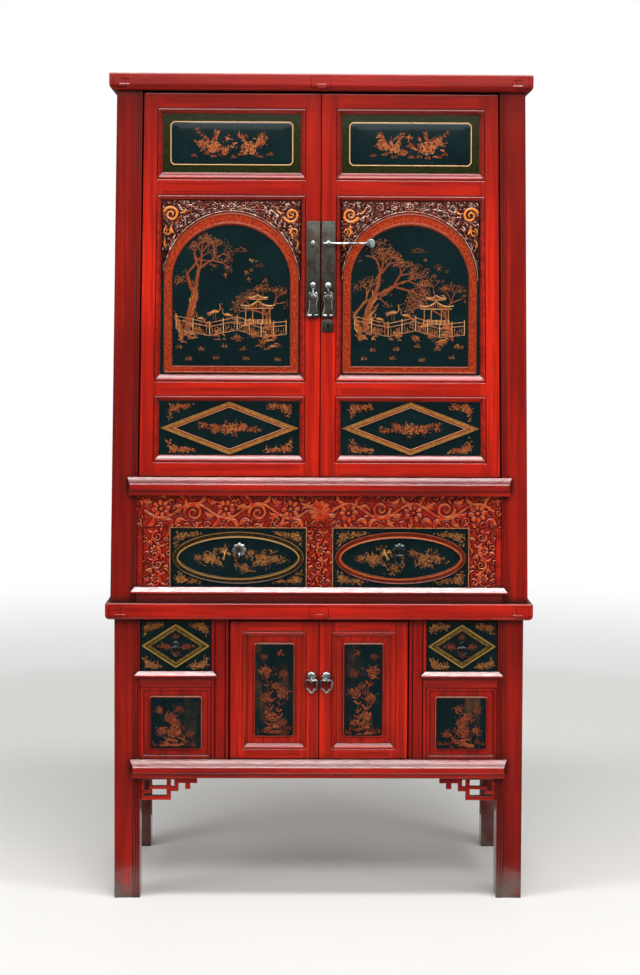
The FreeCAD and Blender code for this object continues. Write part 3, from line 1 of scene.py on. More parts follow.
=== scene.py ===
"""The looks of a tall red lacquered cabinet in two stages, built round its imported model.

Sizes are in millimetres in the model's own frame, and become metres where a mesh is made.
X runs to the right, Y to the back and Z up. The right half of every pair is worked out,
and the left half is its mirror image with paintings of its own.
"""

import functools
import logging
import math
from dataclasses import dataclass
from enum import Enum

import bmesh
import bpy
import numpy as np
from mathutils import Matrix, Vector
from mathutils.geometry import tessellate_polygon


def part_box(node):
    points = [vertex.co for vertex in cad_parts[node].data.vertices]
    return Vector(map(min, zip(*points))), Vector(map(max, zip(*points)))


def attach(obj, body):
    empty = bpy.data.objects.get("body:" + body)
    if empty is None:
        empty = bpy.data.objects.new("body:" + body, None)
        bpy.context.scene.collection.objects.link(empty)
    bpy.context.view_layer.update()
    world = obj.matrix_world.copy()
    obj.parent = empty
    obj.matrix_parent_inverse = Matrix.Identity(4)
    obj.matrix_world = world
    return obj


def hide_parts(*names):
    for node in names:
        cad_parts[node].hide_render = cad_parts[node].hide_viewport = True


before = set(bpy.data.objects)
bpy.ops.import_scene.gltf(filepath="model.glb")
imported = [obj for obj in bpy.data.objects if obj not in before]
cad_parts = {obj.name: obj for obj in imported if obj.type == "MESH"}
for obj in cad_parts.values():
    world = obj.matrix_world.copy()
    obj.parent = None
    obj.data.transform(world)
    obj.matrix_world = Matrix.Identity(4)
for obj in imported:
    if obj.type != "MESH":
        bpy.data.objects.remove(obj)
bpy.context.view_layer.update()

LOG = logging.getLogger("cabinet")
MM = 0.001
SUNK = 0.3
EVEN = (1.0, 1.0, 1.0)
JOINT_WIDTH = 0.0005
FAR_FROM_CARVING = 9.0
CARVING_REACH = 3.0
MOST_LEAVES = 900
SEARCH_STEP = 4
STROKE_POINTS = 6
STROKE_EDGE = -0.08
STROKE_OVERLAP = 0.25
FIRST_PAINT, SECOND_PAINT = (0.25, 0.5), (0.7, 0.95)
WHITE = (1.0, 1.0, 1.0, 1.0)
Array = np.ndarray
Socket = bpy.types.NodeSocket
Material = bpy.types.Material
Box = Colour = tuple[float, float, float, float]


class Side(Enum):
    """Which half of the cabinet a piece belongs to; the value is the sign of its X."""

    LEFT = -1
    RIGHT = 1

    @property
    def word(self) -> str:
        """The side's name as the model's nodes spell it."""
        return self.name.lower()


class Grain(Enum):
    """Which way a board's grain runs, as how finely a pattern repeats along X, Y and Z."""

    UPRIGHT = (90.0, 90.0, 2.5)
    LEVEL = (2.5, 90.0, 90.0)
    DEEP = (90.0, 2.5, 90.0)

    @property
    def stretch(self) -> tuple[float, float, float]:
        """The same as a stretch of the noise that streaks follow."""
        return tuple(v / 10 for v in self.value)


def srgb(red: int, green: int, blue: int) -> Colour:
    """A screen colour as linear light: ((c + 0.055) / 1.055) to the power 2.4 for each channel."""
    channels = [c / 255 for c in (red, green, blue)]
    linear = [((c + 0.055) / 1.055) ** 2.4 if c > 0.04045 else c / 12.92 for c in channels]
    return (*linear, 1.0)


def node_box(name: str) -> tuple[Array, Array]:
    """The lowest and highest corner of a model node, in millimetres."""
    low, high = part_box(name)
    return np.array(low) / MM, np.array(high) / MM


FRONT = node_box("lower_posts")[0][1]


# Finishes


class Shader:
    """A material's node tree, put together one step at a time."""

    def __init__(self, name: str) -> None:
        """Starts an empty tree with a principled surface.

        Args:
            name: The material's name.
        """
        self.material = bpy.data.materials.new(name)
        self.material.use_nodes = True
        self.tree = self.material.node_tree
        self.surface = self.tree.nodes["Principled BSDF"]
        self.place = self.tree.nodes.new("ShaderNodeTexCoord").outputs["Object"]

    def node(self, kind: str, inputs: dict | None = None, **settings) -> bpy.types.Node:
        """Adds a node, sets it up and feeds its inputs.

        Args:
            kind: The node's type name.
            inputs: Values or sockets by input name or number.
            settings: Properties of the node itself.

        Returns:
            The new node.
        """
        made = self.tree.nodes.new(kind)
        for key, value in settings.items():
            setattr(made, key, value)
        for key, value in (inputs or {}).items():
            self.feed(made.inputs[key], value)
        return made

    def feed(self, socket: Socket, value: object) -> None:
        """Links a socket to another one, or sets its value."""
        if isinstance(value, Socket):
            self.tree.links.new(value, socket)
        else:
            socket.default_value = value

    def math(self, operation: str, first: object, second: object = 0.0) -> Socket:
        """A number worked out from one or two others, kept between zero and one."""
        return self.node("ShaderNodeMath", {0: first, 1: second}, operation=operation,
                         use_clamp=True).outputs[0]

    def times(self, first: object, second: object) -> Socket:
        """The product of two shares."""
        return self.math("MULTIPLY", first, second)

    def rest(self, share: object) -> Socket:
        """What a share leaves of one."""
        return self.math("SUBTRACT", 1.0, share)

    def mix(self, share: object, first: object, second: object) -> Socket:
        """A colour between two others by a share."""
        return self.node("ShaderNodeMix", {0: share, 6: first, 7: second}, data_type="RGBA").outputs[2]

    def vary(self, share: object, low: float, high: float) -> Socket:
        """A number that runs from low to high with a share."""
        return self.node("ShaderNodeMapRange", {0: share, 3: low, 4: high}).outputs[0]

    def span(self, value: object, low: float, high: float) -> Socket:
        """Zero below low, one above high and a smooth step between."""
        made = self.node("ShaderNodeMapRange", {0: value, 1: low, 2: high}, interpolation_type="SMOOTHSTEP")
        return made.outputs[0]

    def stretched(self, stretch: tuple) -> Socket:
        """Places on the piece, with their own scale along each axis."""
        return self.node("ShaderNodeMapping", {"Vector": self.place, "Scale": stretch}).outputs[0]

    def noise(self, scale: float, stretch: tuple = EVEN, detail: float = 4.0) -> Socket:
        """Cloudy noise over the piece, with its own stretch along each axis."""
        inputs = {"Vector": self.stretched(stretch), "Scale": scale, "Detail": detail}
        return self.node("ShaderNodeTexNoise", inputs).outputs[0]

    def specks(self, scale: float, stretch: tuple = EVEN) -> Socket:
        """Distance to the nearest of many scattered points, for chips and flecks."""
        inputs = {"Vector": self.stretched(stretch), "Scale": scale}
        return self.node("ShaderNodeTexVoronoi", inputs).outputs["Distance"]

    def ramp(self, vector: object, axis: int, low: float, high: float) -> Socket:
        """Zero to one between two values of a vector's X, Y or Z."""
        return self.span(self.node("ShaderNodeSeparateXYZ", {0: vector}).outputs[axis], low, high)

    def height(self, low: float, high: float) -> Socket:
        """Zero to one between two heights above the floor, in metres."""
        return self.ramp(self.place, 2, low, high)

    def depth(self, low: float, high: float) -> Socket:
        """Zero to one between two places along Y, in metres."""
        return self.ramp(self.place, 1, low, high)

    def upward(self, low: float, high: float) -> Socket:
        """One on faces that look up, zero on upright ones."""
        return self.ramp(self.node("ShaderNodeNewGeometry").outputs["Normal"], 2, low, high)

    def between(self, inner: float, outer: float, slope: float) -> Socket:
        """One where X, whichever its sign, is over inner and X + slope * Z is under outer, in metres."""
        x, _, z = self.node("ShaderNodeSeparateXYZ", {0: self.place}).outputs
        away = self.node("ShaderNodeMath", {0: x}, operation="ABSOLUTE").outputs[0]
        leaning = self.node("ShaderNodeMath", {0: z, 1: slope, 2: away}, operation="MULTIPLY_ADD").outputs[0]
        return self.math("SUBTRACT", self.span(away, inner, inner + JOINT_WIDTH),
                         self.span(leaning, outer - JOINT_WIDTH, outer))

    def attribute(self, name: str) -> Socket:
        """A number that the mesh carries at each point."""
        return self.node("ShaderNodeAttribute", attribute_name=name).outputs["Fac"]

    def crevice(self, reach: float) -> Socket:
        """One deep in corners and grooves, zero in the open."""
        made = self.node("ShaderNodeAmbientOcclusion", {"Distance": reach}, samples=6)
        return self.rest(made.outputs["AO"])

    def rounded(self, radius: float, samples: int = 4) -> Socket:
        """A normal that turns smoothly round each edge."""
        return self.node("ShaderNodeBevel", {"Radius": radius}, samples=samples).outputs[0]

    def edges(self, radius: float, sharpness: float = 0.25) -> Socket:
        """One along outer edges and corners: where a rounded normal leaves the true one."""
        rounded = self.rounded(radius)
        true = self.node("ShaderNodeNewGeometry").outputs["Normal"]
        likeness = self.node("ShaderNodeVectorMath", {0: rounded, 1: true},
                             operation="DOT_PRODUCT").outputs["Value"]
        return self.span(self.rest(likeness), 0.01, sharpness)

    def darken(self, colour: object, reach: float, span: tuple, share: float,
               dark: Colour) -> Socket:
        """A colour with a share of a dark one where another face is within reach, as in grooves: a painted
        shade.
        """
        return self.mix(self.times(self.span(self.crevice(reach), *span), share), colour, dark)

    def bump(self, height: object, depth: float, strength: float = 0.5,
             under: object = None) -> Socket:
        """A surface normal that follows a pattern of a given depth in metres, over another normal."""
        inputs = {"Height": height, "Distance": depth, "Strength": strength}
        made = self.node("ShaderNodeBump", inputs | ({"Normal": under} if under else {}))
        return made.outputs[0]

    def finish(self, colour: object, roughness: object, normal: object = None,
               **values: float) -> Material:
        """Feeds the surface and returns the material.

        Args:
            colour: Base colour or its socket.
            roughness: Roughness or its socket.
            normal: A normal's socket, if any.
            values: Other inputs of the surface by name, with _ for a space.

        Returns:
            The finished material.
        """
        self.feed(self.surface.inputs["Base Color"], colour)
        self.feed(self.surface.inputs["Roughness"], roughness)
        if normal is not None:
            for socket in ("Normal", "Coat Normal"):
                self.feed(self.surface.inputs[socket], normal)
        for key, value in values.items():
            self.surface.inputs[key.replace("_", " ")].default_value = value
        return self.material


@dataclass(frozen=True)
class RedLacquer:
    """Vermilion lacquer over wood: streaked along the grain, rubbed at edges, with painted shade in corners
    and on upward faces.
    """

    name: str
    grain: Grain
    rails: tuple[float, float, float] | None = None
    slot: str = "red_lacquer"
    bright: Colour = srgb(186, 28, 12)
    deep: Colour = srgb(116, 13, 9)
    # The next three colours serve grain threads, the darkening towards the top, dark chips and edge wear, and
    # painted shade on upward faces and in crevices.
    dulled: Colour = srgb(96, 20, 14)
    grime: Colour = srgb(30, 8, 7)
    worn: Colour = srgb(88, 30, 20)
    aged: Colour = srgb(58, 20, 14)
    ripple: float = 0.00014
    round: float = 0.0032
    blur: float = 0.07
    foot: Colour = srgb(92, 76, 68)
    nosing: tuple[float, float] | None = None
    bow: float = 0.0085
    sheen: float = 1.5

    def build(self) -> Material:
        """Makes the material."""
        s = Shader(self.name)
        stretch = self.grain.stretch
        clouds = s.span(s.noise(3.2), 0.36, 0.7)
        streaks, threads, fine = (s.noise(scale, stretch, detail) for scale,
                                  detail in ((7.0, 7.0), (24.0, 4.0), (60.0, 3.0)))
        if self.rails:
            share, level = s.between(*self.rails), Grain.LEVEL.stretch
            streaks = s.mix(share, streaks, s.noise(7.0, level, 7.0))
            threads = s.mix(share, threads, s.noise(24.0, level, 4.0))
        streaks, threads = s.span(streaks, 0.42, 0.62), s.span(threads, 0.5, 0.68)
        red = s.mix(s.times(clouds, 0.6), self.bright, self.deep)
        red = s.mix(s.times(streaks, 0.65), red, self.deep)
        red = s.mix(s.times(threads, 0.5), red, self.dulled)
        # Darker towards the top of the cabinet.
        red = s.mix(s.times(s.height(1.3, 1.95), 0.45), red, self.dulled)
        patchy = s.span(s.noise(45.0), 0.42, 0.62)
        edges = s.times(s.edges(0.0022), s.math("ADD", s.times(patchy, 0.5), 0.3))
        red = s.mix(edges, red, self.worn)
        chips = s.rest(s.span(s.specks(34.0, (1, 1, 0.45)), 0.03, 0.09))
        rare = s.span(s.noise(7.0), 0.56, 0.66)
        red = s.mix(s.times(chips, s.times(rare, 0.8)), red, self.grime)
        # Painted shade: faces that look up are darkened against the light that falls on them from above.
        red = s.mix(s.times(s.upward(0.25, 0.8), 0.6), red, self.dulled)
        red = s.mix(s.times(s.depth(0.05, 0.2), 0.7), red, self.aged)
        # Painted shade: corners, grooves and recesses, where another face is within reach, go brown and then
        # near black.
        hollow = s.crevice(0.02)
        red = s.mix(s.times(s.span(hollow, 0.03, 0.34), 0.8), red, self.worn)
        red = s.mix(s.times(s.span(hollow, 0.16, 0.5), 0.95), red, self.grime)
        scuffed = s.times(s.rest(s.height(0.012, 0.1)), s.span(s.noise(22.0), 0.3, 0.62))
        red = s.mix(scuffed, red, self.foot)
        roughness = s.vary(s.noise(14.0), 0.24, 0.42)
        roughness = s.math("ADD", roughness, s.times(scuffed, 0.35))
        ripples = s.mix(s.upward(0.3, 0.6), fine, s.noise(110.0, stretch, 2.0))
        rounded = s.rounded(self.round, 6)
        if self.nosing:
            down = s.rest(s.height(*self.nosing))
            rounded = s.bump(s.rest(s.times(down, down)), self.bow, 1.0, rounded)
        normal = s.bump(ripples, self.ripple, 0.6, rounded)
        return s.finish(red, roughness, normal, Coat_Weight=0.9, Coat_Roughness=self.blur,
                        Coat_IOR=self.sheen, Specular_IOR_Level=0.1)


@dataclass(frozen=True)
class BlackLacquer:
    """Blue black lacquer, glossy, with brown wear that follows the brush's way."""

    name: str
    wear: float = 0.15
    slot: str = "black_lacquer"
    black: Colour = srgb(6, 16, 18)
    green: Colour = srgb(9, 36, 38)
    brown: Colour = srgb(84, 42, 22)

    def build(self) -> Material:
        """Makes the material."""
        s = Shader(self.name)
        black = s.mix(s.noise(9.0), self.black, self.green)
        streaked = s.noise(34.0, (1.0, 1.0, 0.12), 6.0)
        rubbed = s.span(streaked, 0.66 - 0.2 * self.wear, 0.76 - 0.1 * self.wear)
        patches = s.span(s.noise(16.0), 0.62 - 0.25 * self.wear, 0.75)
        black = s.mix(s.times(s.times(rubbed, patches), min(1.0, 0.25 + self.wear)), black, self.brown)
        black = s.mix(s.times(s.edges(0.0016), 0.7), black, self.brown)
        # Painted shade in grooves and corners.
        black = s.darken(black, 0.008, (0.3, 0.9), 0.7, srgb(6, 8, 8))
        roughness = s.vary(s.noise(40.0), 0.16, 0.36)
        normal = s.bump(s.noise(70.0, (1.0, 1.0, 0.2), 5.0), 0.00012, 0.5)
        return s.finish(black, roughness, normal, Coat_Weight=0.9, Coat_Roughness=0.06,
                        Specular_IOR_Level=0.1)


@dataclass(frozen=True)
class GoldPaint:
    """Orange gold brushwork whose tone runs from red earth to pale gold, rubbed thin in places."""

    name: str
    rubbed: float = 0.4
    slot: str = "black_lacquer"
    red: Colour = srgb(124, 42, 16)
    orange: Colour = srgb(192, 98, 36)
    pale: Colour = srgb(226, 172, 96)
    ground: Colour = srgb(34, 22, 14)

    def build(self) -> Material:
        """Makes the material."""
        s = Shader(self.name)
        tone = s.attribute("tone")
        colour = s.mix(s.span(tone, 0.0, 0.55), self.red, self.orange)
        colour = s.mix(s.span(tone, 0.5, 1.0), colour, self.pale)
        thin = s.span(s.noise(280.0, detail=6.0), 0.56 - 0.16 * self.rubbed, 0.62)
        colour = s.mix(s.times(thin, self.rubbed), colour, self.ground)
        return s.finish(colour, 0.42, s.bump(s.noise(420.0), 0.0001, 0.4), Specular_IOR_Level=0.2)


@dataclass(frozen=True)
class PaintedBand:
    """A raised band in up to three paints, picked by the number that its mesh carries across."""

    name: str
    ground: Colour
    fleck: Colour
    line: Colour
    edge: Colour
    flecks: float = 0.5
    slot: str = "black_lacquer"
    gloss: float = 0.35

    def build(self) -> Material:
        """Makes the material."""
        s = Shader(self.name)
        zone = s.attribute("zone")
        mottled = s.times(s.span(s.noise(190.0, detail=6.0), 0.46, 0.6), self.flecks)
        colour = s.mix(mottled, self.ground, self.fleck)
        colour = s.mix(s.span(zone, *FIRST_PAINT), colour, self.line)
        colour = s.mix(s.span(zone, *SECOND_PAINT), colour, self.edge)
        colour = s.mix(s.times(s.span(s.noise(60.0), 0.55, 0.7), 0.35), colour, srgb(40, 18, 12))
        # Painted shade in the grooves beside the band.
        colour = s.darken(colour, 0.005, (0.3, 0.9), 0.75, srgb(24, 10, 8))
        return s.finish(colour, 0.34, s.bump(s.noise(160.0), 0.0003, 0.6), Coat_Weight=self.gloss,
                        Coat_Roughness=0.12, Specular_IOR_Level=0.43 * self.gloss)


@dataclass(frozen=True)
class CarvedFinish:
    """Carved wood: dark red in the cuts beside its ridges as a painted shade, coloured on the tops, and pale
    on the crests, which on the gilt corners is partly rubbed gilt and partly a painted highlight.
    """

    name: str
    # The hollow colour is a painted shade in the cuts beside the ridges.
    hollow: Colour
    side: Colour
    top: Colour
    crest: Colour
    crest_share: float = 0.5
    gloss: float = 0.7
    gilt: Colour = srgb(216, 122, 40)
    gilt_low: Colour = srgb(120, 44, 16)
    slot: str = "carved_gilt"

    def build(self) -> Material:
        """Makes the material."""
        s = Shader(self.name)
        rise = s.attribute("rise")
        # Painted shade: the hollow colour fills the cut beside each ridge, where the number falls towards
        # zero.
        colour = s.mix(s.span(rise, 0.02, 0.3), self.hollow, self.side)
        colour = s.mix(s.times(s.span(rise, 0.3, 0.7), s.span(s.noise(26.0), 0.36, 0.6)), colour, self.top)
        # On the gilt corners the pale crest colour is partly rubbed gilt and partly a painted highlight; on
        # the red boards it is an ochre patina.
        crest_patches = s.times(s.span(rise, 0.72, 0.95), s.span(s.noise(75.0, detail=6.0), 0.42, 0.56))
        colour = s.mix(s.times(crest_patches, self.crest_share), colour, self.crest)
        colour = s.mix(s.span(rise, 1.3, 1.9), colour,
                       s.mix(s.span(rise, 2.3, 2.8), self.gilt_low, self.gilt))
        # Painted shade in the carving's grooves.
        colour = s.darken(colour, 0.006, (0.12, 0.6), 0.9, srgb(26, 7, 5))
        roughness = s.vary(s.noise(50.0), 0.22, 0.42)
        return s.finish(colour, roughness, s.bump(s.noise(240.0), 0.0002, 0.6), Coat_Weight=self.gloss,
                        Coat_Roughness=0.1, Specular_IOR_Level=0.2)


@dataclass(frozen=True)
class OldMetal:
    """Forged metal: dull and stained on its flats, with painted shade in its hollows, bright where it rubs.
    """

    name: str
    slot: str
    body: Colour
    stain: Colour
    bright: Colour
    roughness: float
    metallic: float

    def build(self) -> Material:
        """Makes the material."""
        s = Shader(self.name)
        colour = s.mix(s.span(s.noise(55.0, detail=6.0), 0.4, 0.66), self.body, self.stain)
        colour = s.mix(s.times(s.edges(0.0009, 0.4), 0.85), colour, self.bright)
        # Painted shade in the metal's hollows.
        colour = s.darken(colour, 0.004, (0.3, 0.9), 0.85, srgb(14, 14, 12))
        low, high = self.roughness - 0.08, self.roughness + 0.14
        roughness = s.vary(s.noise(130.0), low, high)
        hammered = s.bump(s.noise(190.0, detail=2.0), 0.0003, 0.45)
        return s.finish(colour, roughness, hammered, Metallic=self.metallic)


@dataclass(frozen=True)
class BareWood:
    """Softwood with no lacquer, darkened by age, with soft and hard rings along the grain."""

    name: str
    grain: Grain
    slot: str
    early: Colour = srgb(150, 112, 74)
    late: Colour = srgb(96, 64, 40)

    def build(self) -> Material:
        """Makes the material."""
        s = Shader(self.name)
        stretch = self.grain.stretch
        rings = s.span(s.noise(9.0, stretch, 7.0), 0.35, 0.65)
        wood = s.mix(rings, self.early, self.late)
        wood = s.mix(s.times(s.noise(2.5), 0.5), wood, self.late)
        # Painted shade in corners, where boards meet.
        wood = s.darken(wood, 0.02, (0.25, 0.9), 0.7, srgb(30, 20, 14))
        normal = s.bump(s.noise(40.0, stretch, 4.0), 0.0004, 0.5)
        return s.finish(wood, 0.62, normal)


RED_UPRIGHT = RedLacquer("red_lacquer_upright", Grain.UPRIGHT)
RED_POSTS = RedLacquer("red_lacquer_posts", Grain.UPRIGHT, bright=srgb(158, 26, 13), deep=srgb(98, 13, 9))
RED_UPPER_DOORS = RedLacquer("red_lacquer_upper_doors", Grain.UPRIGHT, (0.048, 0.3907, 0.0138772),
                             bright=srgb(206, 36, 14), deep=srgb(136, 18, 10))
RED_LOWER_DOORS = RedLacquer("red_lacquer_lower_doors", Grain.UPRIGHT, (0.044, 0.166, 0.0),
                             bright=srgb(206, 36, 14), deep=srgb(128, 18, 10))
RED_LEVEL = RedLacquer("red_lacquer_level", Grain.LEVEL, bright=srgb(194, 32, 13), deep=srgb(122, 15, 9))
RED_LEDGE = RedLacquer("red_lacquer_ledge", Grain.LEVEL, bright=srgb(184, 30, 13), deep=srgb(110, 14, 9),
                       ripple=0.001, round=0.003, blur=0.1, nosing=(0.980, 0.996), sheen=1.6)
RED_FOOT_RAIL = RedLacquer("red_lacquer_foot_rail", Grain.LEVEL, bright=srgb(184, 30, 13),
                           deep=srgb(110, 14, 9),
                           ripple=0.001, round=0.003, blur=0.1, nosing=(0.3155, 0.330), sheen=1.7)
RED_NOSING = RedLacquer("red_lacquer_nosing", Grain.LEVEL, bright=srgb(190, 32, 13), deep=srgb(116, 15, 9),
                        ripple=0.0006, round=0.0018, blur=0.08, sheen=1.9)
RED_LOWER_PANELS = RedLacquer("red_lacquer_lower_panels", Grain.UPRIGHT, bright=srgb(206, 36, 14),
                              deep=srgb(128, 18, 10))
BLACK_GLOSS = BlackLacquer("black_lacquer_gloss", 0.12)
BLACK_RUBBED = BlackLacquer("black_lacquer_rubbed", 0.85, brown=srgb(94, 60, 34))
GOLD_FRESH = GoldPaint("gold_brushwork", 0.45)
GOLD_RUBBED = GoldPaint("gold_brushwork_rubbed", 0.7, red=srgb(104, 34, 15), orange=srgb(168, 74, 30),
                        pale=srgb(206, 134, 70))
GOLD_GARDEN = GoldPaint("gold_brushwork_garden", 0.55, red=srgb(122, 46, 20), orange=srgb(178, 98, 40),
                        pale=srgb(224, 180, 108))
GOLD_OLD = GoldPaint("gold_brushwork_old", 0.45, red=srgb(112, 56, 22), orange=srgb(172, 106, 42),
                     pale=srgb(214, 166, 88))
OLIVE = PaintedBand("olive_border", srgb(26, 33, 10), srgb(48, 52, 20), srgb(22, 28, 10), srgb(98, 32, 17),
                    0.6, gloss=0.2)
CREAM_LINE = PaintedBand("cream_line", srgb(226, 172, 112), srgb(240, 204, 150), srgb(226, 172, 112),
                         srgb(226, 172, 112), 0.6)
ARCH_RED = PaintedBand("arch_band_paint", srgb(138, 32, 12), srgb(190, 76, 26), srgb(90, 18, 9),
                       srgb(184, 92, 50), 0.65)
LOZENGE_GOLD = PaintedBand("lozenge_gold", srgb(132, 84, 34), srgb(176, 122, 58), srgb(110, 20, 14),
                           srgb(200, 140, 92), 0.7)
LOZENGE_OLIVE = PaintedBand("lozenge_olive", srgb(84, 66, 24), srgb(146, 112, 46), srgb(40, 30, 14),
                            srgb(152, 120, 56), 0.8)
OVAL_RED = PaintedBand("oval_paint", srgb(84, 22, 12), srgb(130, 46, 20), srgb(40, 12, 8), srgb(184, 84, 38),
                       0.5)
# Its silver white crest colour is partly a painted highlight.
CARVED_GILT = CarvedFinish("carved_gilt_corners", srgb(78, 18, 11), srgb(140, 40, 20), srgb(170, 78, 44),
                           srgb(222, 192, 174), 0.7)
CARVED_RED = CarvedFinish("carved_red_boards", srgb(44, 10, 6), srgb(150, 28, 9), srgb(186, 44, 11),
                          srgb(196, 124, 62), 0.45, 0.5)
GILT_EDGE = PaintedBand("gilt_edge", srgb(172, 92, 44), srgb(206, 136, 80), srgb(120, 40, 20),
                        srgb(206, 150, 100), 0.7, slot="carved_gilt")
OVAL_OLIVE = PaintedBand("oval_paint_olive", srgb(26, 24, 16), srgb(72, 50, 24), srgb(18, 16, 12),
                         srgb(158, 116, 54), 0.6)
# Painted shade: a near black sheet stands for the dark inside the keyhole.
KEYHOLE_SHADE = PaintedBand("keyhole_dark", srgb(8, 8, 8), srgb(8, 8, 8), srgb(8, 8, 8), srgb(8, 8, 8), 0.0,
                           slot="dark_iron")
JOINT_LINE = PaintedBand("joint_line", srgb(52, 14, 10), srgb(96, 24, 16), srgb(52, 14, 10),
                         srgb(52, 14, 10), 0.5, slot="red_lacquer", gloss=0.0)
RED_SIDES = RedLacquer("red_lacquer_sides", Grain.UPRIGHT)
RED_FRAME = RedLacquer("red_lacquer_frame", Grain.DEEP)
IRON = OldMetal("worn_iron", "dark_iron", srgb(70, 72, 64), srgb(62, 48, 40), srgb(186, 188, 176), 0.4, 0.7)
OLD_BRASS = OldMetal("old_brass_bright", "old_brass", srgb(184, 188, 186), srgb(78, 78, 73),
                     srgb(250, 252, 252), 0.3, 0.82)
DARK_BRASS = OldMetal("old_brass_dark", "old_brass", srgb(90, 98, 98), srgb(34, 36, 36), srgb(190, 202, 206),
                      0.26, 0.9)
RAW_LEVEL = BareWood("raw_wood_level", Grain.LEVEL, "raw_wood")
RAW_DEEP = BareWood("raw_wood_deep", Grain.DEEP, "raw_wood")


NUMBER_NAMES = {GoldPaint: "tone", CarvedFinish: "rise"}


@functools.cache
def material_of(finish: object) -> Material:
    """The material of a finish, built the first time it is asked for."""
    return finish.build()


def dress(finish: object, *nodes: str) -> None:
    """Gives model nodes the material of a finish."""
    for name in nodes:
        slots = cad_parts[name].data.materials
        slots.clear()
        slots.append(material_of(finish))
        LOG.info("dressed %s in %s", name, finish.name)


# Shapes worked out as whole arrays


@dataclass
class Shell:
    """A closed surface: its points, its faces and a number at each point."""

    points: Array
    quads: Array
    triangles: Array
    values: Array

    def mirrored(self, side: Side) -> "Shell":
        """The shell on its own side of the cabinet: X times the side's sign."""
        return Shell(self.points * (side.value, 1, 1), self.quads, self.triangles, self.values)


def once_round(count: int) -> Array:
    """Even angles once round."""
    return np.linspace(0, 2 * math.pi, count, endpoint=False)


def ray(angle: Array) -> Array:
    """Steps of length one at some angles, as X and Z."""
    return np.stack([np.cos(angle), np.sin(angle)], axis=-1)


def sideways(way: int) -> float:
    """The angle of a level line to the right, or to the left if way is -1."""
    return math.pi / 2 * (1 - way)


def stood(flat: Array, y: Array) -> Array:
    """Points given as X and Z, with their places along Y."""
    return np.stack([flat[..., 0], np.broadcast_to(y, flat.shape[:-1]), flat[..., 1]], axis=-1)


def skin(rings: Array, closed: bool = False, values: Array | None = None) -> Shell:
    """Joins rings of points into one closed surface.

    Point (i, j) joins (i + 1, j) and (i, j + 1), and every ring closes on itself. An open row
    of rings gets a fan of triangles at each end, round the middle of its last ring.

    Args:
        rings: Points by ring, place in the ring and axis.
        closed: Whether the last ring joins the first.
        values: A number for each point, or none for zeros.

    Returns:
        The shell.
    """
    count, around, _ = rings.shape
    numbers = np.arange(count * around).reshape(count, around)
    ahead = np.roll(numbers, -1, axis=0) if closed else numbers[1:]
    here = numbers if closed else numbers[:-1]
    quads = np.stack([here, np.roll(here, -1, axis=1), np.roll(ahead, -1, axis=1), ahead],
                     axis=-1).reshape(-1, 4)
    points = rings.reshape(-1, 3)
    given = np.zeros(len(points)) if values is None else np.broadcast_to(values, (count, around)).reshape(-1)
    if closed:
        return Shell(points, quads, np.zeros((0, 3), int), given)
    fans = []
    for row, middle in ((numbers[0], len(points)), (numbers[-1], len(points) + 1)):
        fans.append(np.stack([row, np.roll(row, -1), np.full(around, middle)], axis=-1))
    middles = np.stack([rings[0].mean(axis=0), rings[-1].mean(axis=0)])
    ends = np.array([given[:around].mean(), given[-around:].mean()])
    return Shell(np.vstack([points, middles]), quads, np.vstack(fans), np.append(given, ends))


def gathered(shells: list[Shell]) -> Shell:
    """Several shells as one."""
    starts = np.cumsum([0] + [len(s.points) for s in shells[:-1]])
    return Shell(np.vstack([s.points for s in shells]),
                 np.vstack([s.quads + start for s, start in zip(shells, starts)]),
                 np.vstack([s.triangles + start for s, start in zip(shells, starts)]),
                 np.concatenate([s.values for s in shells]))


def add_piece(name: str, shell: Shell, finish: object, body: str, stands_for: tuple = (),
              crease: float = 35.0) -> bpy.types.Object:
    """Makes a shell a piece of the cabinet.

    Args:
        name: The piece's name.
        shell: Its surface, in millimetres.
        finish: The finish that it wears.
        body: The body that it moves with.
        stands_for: Model nodes that it takes the place of.
        crease: Angle in degrees above which an edge stays sharp.

    Returns:
        The new object.
    """
    mesh = bpy.data.meshes.new(name)
    faces = [f for f in (shell.quads, shell.triangles) if len(f)]
    sizes = np.concatenate([np.full(len(f), f.shape[1]) for f in faces])
    corners = np.concatenate([f.ravel() for f in faces])
    mesh.vertices.add(len(shell.points))
    mesh.vertices.foreach_set("co", ((shell.points + (0, FRONT, 0)) * MM).astype(np.float32).ravel())
    mesh.loops.add(len(corners))
    mesh.loops.foreach_set("vertex_index", corners.astype(np.int32))
    mesh.polygons.add(len(sizes))
    mesh.polygons.foreach_set("loop_start", np.concatenate([[0], np.cumsum(sizes)[:-1]]).astype(np.int32))
    mesh.update(calc_edges=True)
    layer = mesh.attributes.new(NUMBER_NAMES.get(type(finish), "zone"), "FLOAT", "POINT")
    layer.data.foreach_set("value", shell.values.astype(np.float32))
    work = bmesh.new()
    work.from_mesh(mesh)
    bmesh.ops.recalc_face_normals(work, faces=work.faces)
    work.to_mesh(mesh)
    work.free()
    mesh.shade_smooth()
    mesh.set_sharp_from_angle(angle=math.radians(crease))
    piece = bpy.data.objects.new(name, mesh)
    bpy.context.scene.collection.objects.link(piece)
    mesh.materials.append(material_of(finish))
    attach(piece, body)
    if stands_for:
        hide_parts(*stands_for)
    LOG.info("made %s, %d faces, on %s", name, len(mesh.polygons), body)
    return piece


